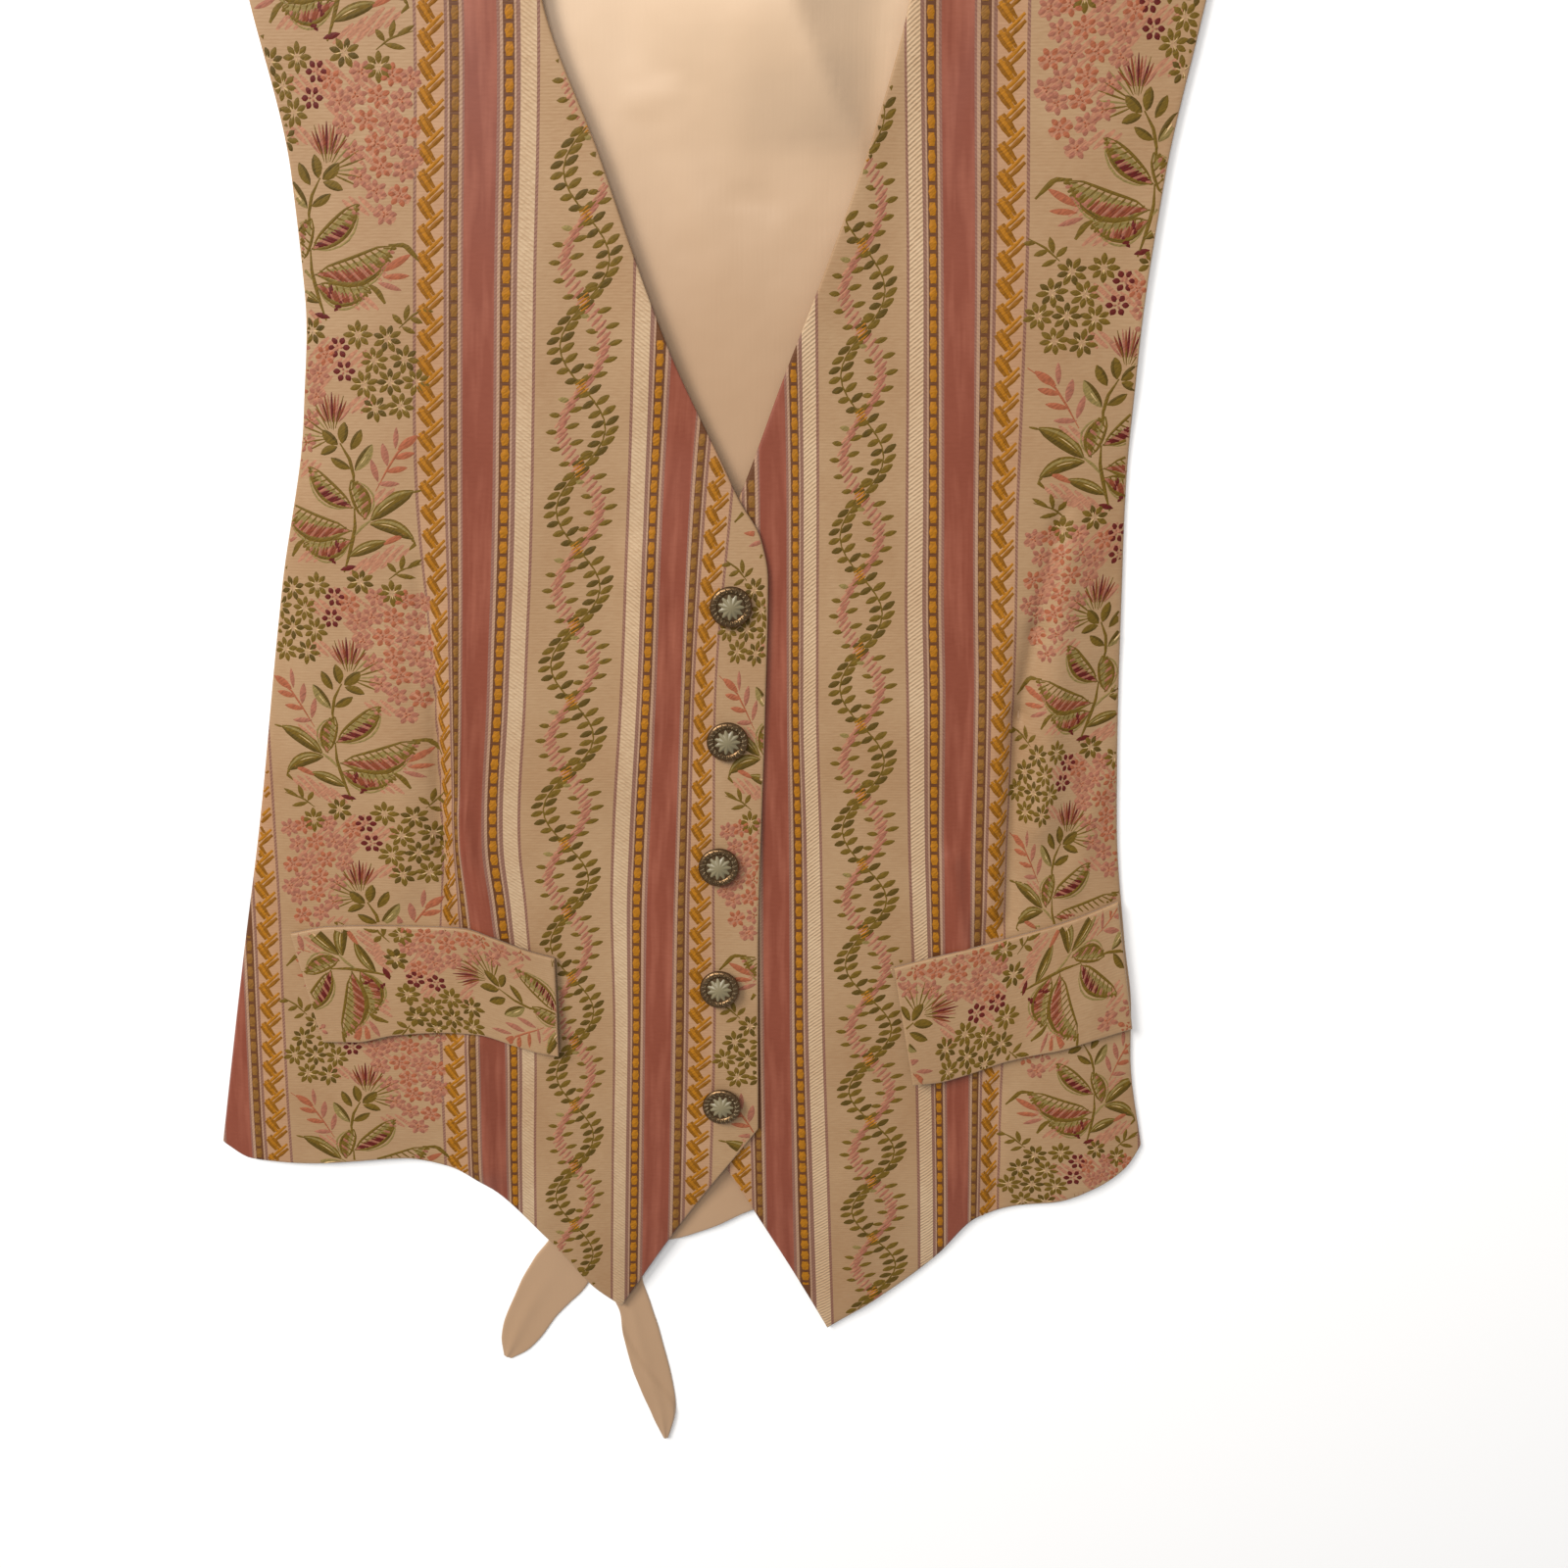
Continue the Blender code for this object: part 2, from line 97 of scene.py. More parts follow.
def linear(hex_colour, share=1.0):
    """An sRGB hex colour, or a share of its light, as the linear RGBA that a shader takes."""
    parts = [int(hex_colour[i : i + 2], 16) / 255 for i in (1, 3, 5)]
    return (*(share * (p / 12.92 if p < 0.04045 else ((p + 0.055) / 1.055) ** 2.4) for p in parts), 1)


def new_material(name, hex_colour, roughness, **sockets):
    material = bpy.data.materials.new(name)
    material.use_nodes = True
    shader = material.node_tree.nodes["Principled BSDF"]
    shader.inputs["Base Color"].default_value = linear(hex_colour)
    shader.inputs["Roughness"].default_value = roughness
    for socket, value in sockets.items():
        shader.inputs[socket.replace("_", " ")].default_value = value
    return material


def mesh_object(name, points, faces, *materials):
    mesh = bpy.data.meshes.new(name)
    mesh.from_pydata(points, [], faces)
    for material in materials:
        mesh.materials.append(material)
    return placed(name, mesh)


REACH = 4.0
surface = mesh_object(
    "surface",
    [(-REACH, -REACH, 0), (REACH, -REACH, 0), (REACH, REACH, 0), (-REACH, REACH, 0)],
    [(0, 1, 2, 3)],
    new_material("matt_white_board", "#FBFBFB", 0.9),
)

Lamp = namedtuple("Lamp", "name at size watts colour")
for lamp in (
    Lamp("key", (-1.75, 1.75, 2.1), 1.3, 97, "#FFFCF8"),
    Lamp("sheen", (-0.2, 1.05, 1.9), 0.6, 16, "#FFFDFA"),
):
    light = placed(lamp.name, bpy.data.lights.new(lamp.name, "AREA"))
    light.data.energy = lamp.watts
    light.data.size = lamp.size
    light.data.color = linear(lamp.colour)[:3]
    light.location = lamp.at
    light.rotation_euler = (-Vector(lamp.at)).to_track_quat("-Z", "Y").to_euler()
room = bpy.data.worlds.new("room")
room.use_nodes = True
room.node_tree.nodes["Background"].inputs["Color"].default_value = linear("#FEFEFF")
room.node_tree.nodes["Background"].inputs["Strength"].default_value = 0.42
bpy.context.scene.world = room


# Back
# One panel of ecru rayon satin over a thin lining. Its inside shows in the neckline and, as a
# shaded sliver, between the two points of the hem. It lies on the surface and carries the fronts.

BACK_CLOTH = 1.6
NECK_Y = 388.6
TIP_Y = 352
BACK_NECK_DIP = 22
UNDERARM_Y = 112
UNDERARM_FADE = 28
SIDE_TURN = 9
BACK_SEAM_INSET = 9.3
BACK_ARMHOLE_INSET = 2
BACK_STEP = 4
EDGE_ROLL = 1.0
EDGE_STEP = 0.5
EDGE_SEARCH = 12
RIPPLE_WIDTH, RIPPLE_LENGTH = 34, 60
# Y in mm between which the satin's painted light turns from its darker base colour to its paler one.
PAINTED_LIGHT_FROM, PAINTED_LIGHT_TO = 130, 310
CREASES_PER_METRE = 16
FLOATS_PER_METRE = (900, 45, 45)
NEAR_EDGE = (0.0, 0.12, 0.35, 0.8, 1.6)

EdgeRow = namedtuple("EdgeRow", "y x")
HemRow = namedtuple("HemRow", "x y")
Crease = namedtuple("Crease", "start end height reach")


def table(kind, *values):
    return [kind(*value) for value in values]


RIGHT_SIDE = table(
    EdgeRow,
    (TIP_Y, -166),
    (283, -154.4),
    (220, -144.4),
    (176, -143.5),
    (129, -148.8),
    (56, -165.6),
    (-51, -186.7),
    (-120, -202),
    (-213, -221.6),
)
LEFT_SIDE = table(
    EdgeRow,
    (TIP_Y, 220.5),
    (283, 210),
    (220, 199.2),
    (153, 193.6),
    (105, 192.6),
    (56, 193.8),
    (-51, 199),
    (-109, 206.5),
    (-139, 211.5),
    (-170, 213.5),
    (-215, 221.6),
)
BACK_NECK_POINTS = (-53, 107)
BACK_HEM = table(
    HemRow,
    (-212, -208),
    (-150, -212),
    (-106, -221),
    (-60, -250),
    (-14, -269),
    (8, -263.5),
    (33.8, -251.5),
    (60, -243),
    (110, -230),
    (212, -206),
)
# The back swells up to a soft line in the neckline and falls away to the right of it, in shade.
SWELL_LINE = table(
    EdgeRow, (420, 46), (330, 50), (278, 54), (262, 61), (242, 71), (228, 80), (100, 108)
)
SwellRow = namedtuple("SwellRow", "y height fall")
SWELL_FADE = 48
SWELL_STEEPNESS = 1.5
SWELL = table(
    SwellRow,
    (420, 14.5, 42),
    (300, 15.5, 38),
    (280, 15, 34),
    (262, 12.5, 26),
    (252, 9.8, 20),
    (242, 6.4, 14),
    (235, 3.8, 8),
    (228, 1.2, 4),
    (215, 0, 4),
    (100, 0, 4),
)
BACK_CREASES = table(
    Crease,
    ((66, 300), (88, 276), 0.7, 5),
    ((31, 211.5), (44, 210), -0.7, 3),
    ((-12, 246), (8, 250), 0.6, 3),
    ((0, 258), (14, 252), -0.4, 4),
    ((34, 380), (22, 300), 0.7, 9),
    ((46, 330), (30, 230), 0.6, 12),
    ((-2, 262), (14, 204), 0.4, 8),
    ((8, 236), (24, 186), 0.4, 6),
    ((-20, 300), (-8, 266), -0.4, 7),
    ((0, -240), (22, -262), 0.5, 6),
    ((-8, -252), (2, -268), 0.4, 5),
)


def smooth_step(share):
    share = min(1.0, max(0.0, share))
    return share * share * (3 - 2 * share)


def mix(a, b, share):
    return a + (b - a) * share


def through(rows, at):
    """The smooth curve through a table of (key, value) rows, with no overshoot between them."""
    rows = sorted((row[0], row[1]) for row in rows)
    keys = [key for key, _ in rows]
    at = min(max(at, keys[0]), keys[-1])
    slopes = [(b[1] - a[1]) / (b[0] - a[0]) for a, b in zip(rows, rows[1:])]
    span = max(i for i in range(len(slopes)) if keys[i] <= at or i == 0)

    def tangent(i):
        if i in (0, len(slopes)):
            return slopes[min(i, len(slopes) - 1)]
        before, after = slopes[i - 1], slopes[i]
        return 0 if before * after <= 0 else 2 * before * after / (before + after)

    width = keys[span + 1] - keys[span]
    t = (at - keys[span]) / width
    (_, low), (_, high) = rows[span], rows[span + 1]
    ease = t * t * (3 - 2 * t)
    bend = tangent(span) * t * (1 - t) ** 2 - tangent(span + 1) * t * t * (1 - t)
    return low + (high - low) * ease + width * bend


def distance_to(start, end, x, y):
    dx, dy = end[0] - start[0], end[1] - start[1]
    along = ((x - start[0]) * dx + (y - start[1]) * dy) / (dx * dx + dy * dy)
    along = min(1.0, max(0.0, along))
    return math.hypot(x - start[0] - along * dx, y - start[1] - along * dy)


def creased(creases, x, y):
    """Sum of soft ridges, or of troughs where a height is negative."""
    return sum(
        c.height * math.exp(-((distance_to(c.start, c.end, x, y) / c.reach) ** 2)) for c in creases
    )


def swell(x, y):
    """Height that the swell adds: it fades slowly to the left of its line and falls steeply past it."""
    past = x - through(SWELL_LINE, y)
    height = through([(row.y, row.height) for row in SWELL], y)
    if past < 0:
        return height * math.exp(-((past / SWELL_FADE) ** 2))
    fall = through([(row.y, row.fall) for row in SWELL], y)
    return height * max(0.0, 1 - past / fall) ** SWELL_STEEPNESS


def tree_of(thing):
    mesh = thing.data
    return BVHTree.FromPolygons([v.co for v in mesh.vertices], [p.vertices for p in mesh.polygons])


def drop_on(tree, x, y):
    """Height in mm where something let down at (x, y) lands, or None beside the piece."""
    hit = tree.ray_cast(Vector((x, y, 100)) * MM, Vector((0, 0, -1)))[0]
    return None if hit is None else hit.z / MM


def shares_with_edges(size, step):
    """Shares from 0 to 1 for a width in mm, evenly spaced but close together at both edges."""
    inner = NEAR_EDGE[-1]
    count = max(2, round((size - 2 * inner) / step))
    middle = [inner + (size - 2 * inner) * i / count for i in range(count + 1)]
    return [e / size for e in (*NEAR_EDGE[:-1], *middle, *(size - e for e in NEAR_EDGE[-2::-1]))]


def drape(xs, ys, solid, rounds, creases=(), ripple=0.0):
    """Heights of a cloth's upper side over its solid, with the solid's facets smoothed away."""
    tree = tree_of(solid)
    rows, columns = xs.shape
    middle = Vector((xs.mean(), ys.mean()))
    zs = np.zeros(xs.shape)
    for i in range(rows):
        for j in range(columns):
            x, y = xs[i, j], ys[i, j]
            height = drop_on(tree, x, y)
            inward = (middle - Vector((x, y))).normalized()
            step = EDGE_STEP
            while height is None and step < EDGE_SEARCH:
                height = drop_on(tree, x + inward.x * step, y + inward.y * step)
                step += EDGE_STEP
            zs[i, j] = height or BACK_CLOTH
    for _ in range(rounds):
        zs[1:-1, :] = 0.5 * zs[1:-1, :] + 0.25 * (zs[:-2, :] + zs[2:, :])
        zs[:, 1:-1] = 0.5 * zs[:, 1:-1] + 0.25 * (zs[:, :-2] + zs[:, 2:])
    for i in range(rows):
        for j in range(columns):
            x, y = xs[i, j], ys[i, j]
            zs[i, j] += creased(creases, x, y)
            if ripple:
                at = Vector((x / RIPPLE_WIDTH, y / RIPPLE_LENGTH, 0.5))
                zs[i, j] += ripple * (noise.noise(at) + 0.5 * noise.noise(at * 2.3))
    return zs


def rolled_edges(xs, ys, zs):
    """Rounds the cloth's upper side down over its cut edges, as a turned and pressed edge lies."""
    nearest = np.full(xs.shape, EDGE_ROLL)
    for axis in (0, 1):
        step = np.hypot(np.diff(xs, axis=axis), np.diff(ys, axis=axis))
        start = np.zeros((1, xs.shape[1])) if axis == 0 else np.zeros((xs.shape[0], 1))
        along = np.concatenate([start, np.cumsum(step, axis=axis)], axis=axis)
        total = along[-1:, :] if axis == 0 else along[:, -1:]
        nearest = np.minimum(nearest, np.minimum(along, total - along))
    return zs - EDGE_ROLL * 0.8 * (1 - np.sqrt(1 - (1 - nearest / EDGE_ROLL) ** 2))


def cloth(name, xs, ys, zs, thickness, material, weave=None):
    """A closed sheet of cloth from the heights of its upper side, with its weave in a UV map."""
    rows, columns = xs.shape
    edge_drop = rolled_edges(xs, ys, zs)
    lower = np.maximum(zs - thickness, 0.02)
    points = [(x * MM, y * MM, z * MM) for x, y, z in zip(xs.flat, ys.flat, edge_drop.flat)]
    points += [(x * MM, y * MM, z * MM) for x, y, z in zip(xs.flat, ys.flat, lower.flat)]
    under = rows * columns
    faces = []
    for i in range(rows - 1):
        for j in range(columns - 1):
            a = i * columns + j
            corners = (a, a + 1, a + columns + 1, a + columns)
            faces.append(corners)
            faces.append([under + c for c in reversed(corners)])
    rim = list(range(columns))
    rim += [i * columns + columns - 1 for i in range(1, rows)]
    rim += [(rows - 1) * columns + j for j in range(columns - 2, -1, -1)]
    rim += [i * columns for i in range(rows - 2, 0, -1)]
    faces += [(b, a, under + a, under + b) for a, b in zip(rim, rim[1:] + rim[:1])]
    x, y = xs[0, 1] - xs[0, 0], ys[1, 0] - ys[0, 0]
    if x * y < 0:
        faces = [tuple(reversed(face)) for face in faces]
    made = mesh_object(name, points, faces, material)
    if weave is not None:
        layer = made.data.uv_layers.new(name="weave")
        coordinates = [(s * MM, t * MM) for s, t in zip(weave[0].flat, weave[1].flat)] * 2
        for loop in made.data.loops:
            layer.data[loop.index].uv = coordinates[loop.vertex_index]
    made.data.shade_smooth()
    return made


def back_top_y(x):
    left, right = BACK_NECK_POINTS
    if left < x < right:
        half = (right - left) / 2
        return NECK_Y - BACK_NECK_DIP * (1 - abs((x - left - half) / half) ** 2.4)
    neck, tip = (left, RIGHT_SIDE[0].x) if x <= left else (right, LEFT_SIDE[0].x)
    return mix(NECK_Y, TIP_Y, (x - neck) / (tip - neck))


def back_points():
    tops = RIGHT_SIDE[0].x + BACK_ARMHOLE_INSET, LEFT_SIDE[0].x - BACK_ARMHOLE_INSET
    hem_ends = BACK_HEM[0].x, BACK_HEM[-1].x
    shares = shares_with_edges(hem_ends[1] - hem_ends[0], BACK_STEP)
    rises = [back_top_y(mix(*tops, share)) - TIP_Y for share in shares]
    drops = [through(BACK_HEM, mix(*hem_ends, share)) - BACK_HEM[0].y for share in shares]
    xs, ys = [], []
    for down in shares_with_edges(TIP_Y - BACK_HEM[0].y, BACK_STEP):
        side_y = mix(TIP_Y, BACK_HEM[0].y, down)
        seam = 1 - smooth_step((side_y - UNDERARM_Y) / UNDERARM_FADE)
        inset = mix(BACK_ARMHOLE_INSET, BACK_SEAM_INSET, seam)
        left, right = through(RIGHT_SIDE, side_y) + inset, through(LEFT_SIDE, side_y) - inset
        up, low = max(0.0, 1 - down / 0.4) ** 2, max(0.0, (down - 0.5) / 0.5) ** 2
        xs.append([mix(left, right, share) for share in shares])
        ys.append([side_y + rise * up + drop * low for rise, drop in zip(rises, drops)])
    return np.array(xs), np.array(ys)


def node(material, kind, sockets, out=0, **settings):
    """Adds a shader node and gives one of its outputs. Sockets take values or other nodes' outputs."""
    made = material.node_tree.nodes.new("ShaderNode" + kind)
    for name, value in settings.items():
        setattr(made, name, value)
    for socket, value in sockets.items():
        if isinstance(value, bpy.types.NodeSocket):
            material.node_tree.links.new(value, made.inputs[socket])
        else:
            made.inputs[socket].default_value = value
    return made.outputs[out]


def link_surface(material, colour, relief, strength, depth, under=None):
    """Gives a material its varying colour, and a relief of a depth in mm over the one under it."""
    sockets = {"Height": relief, "Strength": strength, "Distance": depth * MM}
    bump = node(material, "Bump", sockets | ({"Normal": under} if under else {}))
    shader = material.node_tree.nodes["Principled BSDF"]
    material.node_tree.links.new(colour, shader.inputs["Base Color"])
    material.node_tree.links.new(bump, shader.inputs["Normal"])


def satin(name, hex_colour, painted_light_colour):
    """Rayon satin with long floats and a soft sheen, painted paler towards the neck and darker lower down
    as painted light and shade.
    """
    material = new_material(name, hex_colour, 0.42, Specular_IOR_Level=0.45, Sheen_Weight=0.15)
    add = partial(node, material)
    at = add("TexCoord", {}, "Object")
    # Painted light and shade: the colour runs from the darker base colour, low on the back and on the ties,
    # to the paler one towards the neck.
    painted_light_share = add(
        "MapRange",
        {
            "Value": add("SeparateXYZ", {"Vector": at}, "Y"),
            "From Min": PAINTED_LIGHT_FROM * MM,
            "From Max": PAINTED_LIGHT_TO * MM,
        },
        interpolation_type="SMOOTHSTEP",
    )
    creases = add("TexNoise", {"Vector": at, "Scale": CREASES_PER_METRE, "Detail": 3})
    floats = add("Mapping", {"Vector": at, "Scale": FLOATS_PER_METRE})
    streaks = add("TexNoise", {"Vector": floats, "Scale": 1, "Detail": 2})
    colour = add("Mix", {0: painted_light_share, 6: linear(hex_colour), 7: linear(painted_light_colour)}, 2, data_type="RGBA")
    # Painted shade: the crease noise also darkens and warms the colour a little, in step with the soft
    # creases' bump.
    shade = {0: creases, 6: colour, 7: linear("#F1EBE3")}
    shaded = add("Mix", shade, 2, data_type="RGBA", blend_type="MULTIPLY")
    soft = add("Bump", {"Height": creases, "Strength": 0.35, "Distance": 4 * MM})
    link_surface(material, shaded, streaks, 0.2, 0.2, soft)
    return material


# The second colour is the satin's painted paler light towards the neck.
ecru_satin = satin("ecru_rayon_satin", "#AF8F70", "#D2B698")
back_xs, back_ys = back_points()
back_zs = drape(back_xs, back_ys, frame["nodes"]["back"], 14, BACK_CREASES, 0.25)
back_zs += np.vectorize(swell)(back_xs, back_ys)
back_piece = cloth("back_satin", back_xs, back_ys, back_zs, BACK_CLOTH, ecru_satin)
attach(back_piece, "root")
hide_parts("back")


# Brocade
# Jacquard brocade of silk-look rayon: an ecru ribbed ground with stripes of dusty-pink satin, white
# cords, purple twills, and the bare grounds that the gold ropes and ladders are woven over.

HALF_REPEAT = 103
RIB_SPACING, TWILL_SPACING, CORD_SPACING = 1.2083, 1.7, 1.7453
StripeRow = namedtuple("StripeRow", "starts colour relief twill cord satin")
STRIPES = table(
    StripeRow,
    (0, "#A58663", 0.45, 0, 0, 0),
    (19.6, "#7A5143", 0.3, 0.4, 0, 0),
    (20.8, "#C0A685", 1.0, 0, 1, 0),
    (27.0, "#7A5446", 0.35, 0.25, 0, 0),
    (28.6, "#A0806A", 0.45, 0.7, 0, 0),
    (29.7, "#5E3408", 0.35, 0, 0, 0),
    (33.9, "#A0806A", 0.45, 0.7, 0, 0),
    (35.1, "#80564A", 0.35, 0.25, 0, 0),
    (36.6, "#82422E", 0.45, 0, 0, 1),
    (48.7, "#80564A", 0.35, 0.25, 0, 0),
    (49.7, "#A0806A", 0.45, 0.7, 0, 0),
    (50.9, "#5E3408", 0.35, 0, 0, 0),
    (54.4, "#A0806A", 0.45, 0.7, 0, 0),
    (55.4, "#7A5446", 0.35, 0.25, 0, 0),
    (56.7, "#AE8866", 0.45, 0, 0, 0),
    (67.4, "#7A5143", 0.3, 0.5, 0, 0),
    (68.6, "#A68764", 0.45, 0, 0, 0),
)


def stripe_ramp(material, across, values):
    """A ramp over half the repeat that holds one RGBA value for each stripe."""
    ramp = node(material, "ValToRGB", {"Fac": across})
    ramp.node.color_ramp.interpolation = "CONSTANT"
    stops = ramp.node.color_ramp.elements
    for stripe in STRIPES[2:]:
        stops.new(stripe.starts / HALF_REPEAT)
    for stop, stripe, value in zip(stops, STRIPES, values):
        stop.position = stripe.starts / HALF_REPEAT
        stop.color = value
    return ramp


def brocade(name, striped):
    """Striped brocade, or with striped False the plain ribbed ground that the flaps are cut from."""
    material = new_material(name, STRIPES[-1].colour, 0.5, Specular_IOR_Level=0.35, Sheen_Weight=0.1)
    add = partial(node, material)
    weave = add("UVMap", {}, uv_map="weave")
    across = add("SeparateXYZ", {"Vector": weave}, "X")
    along = across.node.outputs["Y"]

    def ridges(place, spacing):
        """A wave over a place on the weave, with its spacing in mm, coarser than the real threads."""
        turns = add("Math", {0: place, 1: math.tau / (spacing * MM)}, operation="MULTIPLY")
        return add("Math", {0: turns}, operation="SINE")

    def uneven(*grain):
        """Noise with so many grains to the metre across and along the weave."""
        stretched_weave = add("Mapping", {"Vector": weave, "Scale": (*grain, 1)})
        return add("TexNoise", {"Vector": stretched_weave, "Scale": 1, "Detail": 2})

    slubs, floats = uneven(260, 900), uneven(240, 22)
    age = add("TexNoise", {"Vector": weave, "Scale": 20, "Detail": 3})
    rough = add("Math", {0: slubs, 1: 0.3}, operation="MULTIPLY")
    relief = add("Math", {0: ridges(along, RIB_SPACING), 1: 0.035, 2: rough}, operation="MULTIPLY_ADD")
    colour = linear(STRIPES[-1].colour)
    if striped:
        half = HALF_REPEAT * MM
        wrapped = add("Math", {0: across, 1: half, 2: -half}, operation="WRAP")
        folded = add("Math", {0: wrapped}, operation="ABSOLUTE")
        folded = add("Math", {0: folded, 1: half}, operation="DIVIDE")
        # The second ramp carries relief, twill and cord as red, green and blue, and satin as alpha.
        colour = stripe_ramp(material, folded, [linear(s.colour) for s in STRIPES])
        form = stripe_ramp(material, folded, [(s.relief, s.twill, s.cord, s.satin) for s in STRIPES])
        level = add("SeparateColor", {0: form})
        twill, cord = level.node.outputs["Green"], level.node.outputs["Blue"]
        satin_part = form.node.outputs["Alpha"]
        dull = add("Math", {0: satin_part, 1: -0.22, 2: 0.6}, operation="MULTIPLY_ADD")
        shader = material.node_tree.nodes["Principled BSDF"]
        material.node_tree.links.new(dull, shader.inputs["Roughness"])

        # Twill lines slant both ways from the vine's middle, and each cord is twisted one way.
        beside = add("Math", {0: across}, operation="ABSOLUTE")
        lines = ridges(add("Math", {0: along, 1: beside}, operation="ADD"), TWILL_SPACING)
        slant = add("Math", {0: across, 1: -0.7, 2: along}, operation="MULTIPLY_ADD")
        twist = add("Math", {0: ridges(slant, CORD_SPACING), 1: cord}, operation="MULTIPLY")
        twist = add("Math", {0: twist, 1: slubs}, operation="MULTIPLY")
        pale = add("Math", {0: lines, 1: 0.32, 2: 0.32}, operation="MULTIPLY_ADD")
        pale = add("Math", {0: twill, 1: pale}, operation="MULTIPLY")
        colour = add("Mix", {0: pale, 6: colour, 7: linear("#B89676")}, 2, data_type="RGBA")
        # Painted shade: the hollows between a cord's twists are painted darker.
        painted_hollow_shade = add("Math", {0: twist, 1: 0.6}, operation="MULTIPLY")
        colour = add("Mix", {0: painted_hollow_shade, 6: colour, 7: linear("#9C7452")}, 2, data_type="RGBA")
        # Painted sheen: long random streaks on the pink satin are painted paler, standing in for light on
        # its sheen.
        painted_satin_sheen = add("Math", {0: age, 1: floats}, operation="ADD")
        painted_satin_sheen = add("Math", {0: painted_satin_sheen, 1: 0.92}, operation="SUBTRACT")
        painted_satin_sheen = add("Math", {0: painted_satin_sheen, 1: satin_part}, operation="MULTIPLY")
        painted_satin_sheen = add("Math", {0: painted_satin_sheen, 1: 1.7}, operation="MULTIPLY")
        colour = add("Mix", {0: painted_satin_sheen, 6: colour, 7: linear("#A5644F")}, 2, data_type="RGBA")

        # Satin is smooth, a cord stands up with hollows between its twists, and a twill is lined.
        ribbed = add("Math", {0: 1.0, 1: satin_part}, operation="SUBTRACT")
        relief = add("Math", {0: relief, 1: ribbed, 2: level}, operation="MULTIPLY_ADD")
        relief = add("Math", {0: twist, 1: -0.6, 2: relief}, operation="MULTIPLY_ADD")
        lined = add("Math", {0: lines, 1: twill}, operation="MULTIPLY")
        relief = add("Math", {0: lined, 1: 0.12, 2: relief}, operation="MULTIPLY_ADD")
    worn = add("Math", {0: slubs, 1: 0.5, 2: age}, operation="MULTIPLY_ADD")
    worn = add("Math", {0: worn, 1: 0.9, 2: -0.35}, operation="MULTIPLY_ADD")
    shade = {0: worn, 6: colour, 7: linear("#D2B698")}
    shaded = add("Mix", shade, 2, data_type="RGBA", blend_type="MULTIPLY")
    link_surface(material, shaded, relief, 0.7, 0.5)
    return material


striped_brocade = brocade("silk_look_striped_brocade", True)
ground_brocade = brocade("silk_look_brocade_ground", False)


# Fronts
# Each front is one panel of brocade from shoulder to pointed hem, shaped by one waist dart, with
# its edges turned and pressed. The stripes run straight down it and close in at the dart.

FRONT_CLOTH = 2.0
STEP_ACROSS, STEP_DOWN = 2.6, 2.8
FLAP_CLOTH = 2.2
RIGHT_EDGE = table(
    EdgeRow,
    (NECK_Y, -53),
    (340, -49),
    (283, -42.5),
    (228, -23),
    (189, -10),
    (151, 4),
    (107, 24.5),
    (94, 30.5),
    (78, 39.5),
    (61, 42.5),
    (0, 41),
    (-108, 37.5),
    (-202, 37),
)
LEFT_EDGE = table(
    EdgeRow,
    (NECK_Y, 107),
    (340, 104),
    (283, 97),
    (235, 84),
    (192, 68.5),
    (143, 49),
    (95, 30.5),
    (70, 18.5),
    (45, 9.5),
    (12, 6.3),
    (-80, 3.6),
    (-194, 3),
)
RIGHT_HEM_TO_POINT = table(HemRow, (37, -202), (14, -234), (-9, -268.5), (-32, -305.5))
RIGHT_HEM_TO_SIDE = table(
    HemRow,
    (-32, -305.5),
    (-45, -294.5),
    (-66, -266.5),
    (-94.5, -235.5),
    (-115, -224.5),
    (-134, -221),
    (-182, -224),
    (-208, -221.5),
    (-221.6, -213),
)
LEFT_HEM_TO_POINT = table(HemRow, (3, -194), (20.6, -224.5), (49.2, -277), (60, -298), (71, -319.5))
LEFT_HEM_TO_SIDE = table(
    HemRow,
    (71, -319.5),
    (105.6, -294),
    (124.7, -277),
    (143.4, -255.5),
    (162.4, -248.5),
    (181.5, -246.5),
    (200.3, -238.5),
    (215, -227),
    (221.6, -215),
)
# The darts' pulled-in lines and the small folds beside them.
RIGHT_CREASES = table(
    Crease,
    ((-107, 66), (-102, 10), -0.9, 2.6),
    ((-102, 10), (-104, -60), -2.0, 3.4),
    ((-104, -60), (-98, -100), -2.0, 3.4),
    ((-96, 40), (-94, -60), 1.2, 6),
    ((-96, -44), (-84, -100), 2.0, 5.5),
    ((-98, -160), (-94, -225), 3.0, 9),
    ((-12, 70), (-8, 0), 1.8, 8),
    ((-118, 30), (-120, -80), 0.9, 8),
    ((-20, 60), (-2, 52), 0.6, 4),
    ((-12, 30), (-2, 4), -0.6, 4),
    ((-8, -60), (0, -120), 0.4, 7),
    ((-40, -200), (-60, -262), -0.5, 6),
    ((-24, 250), (-44, 330), 0.7, 7),
    ((-60, 120), (-66, 40), 0.5, 12),
)
LEFT_CREASES = table(
    Crease,
    ((166, 90), (158, 38), -1.9, 3.4),
    ((158, 38), (152, 0), -2.6, 3.6),
    ((152, 0), (151.5, -96), -2.8, 3.6),
    ((168, 70), (163, -50), 2.6, 7),
    ((143, 40), (142, -90), 2.0, 7),
    ((150, -182), (151, -246), -1.5, 3.4),
    ((124, -66), (131, -108), 2.2, 5),
    ((186, 20), (180, -60), -0.8, 7),
    ((190, -30), (178, -82), 1.0, 5),
    ((82, -230), (86, -300), 0.5, 8),
    ((74, 150), (84, 60), 0.4, 12),
)
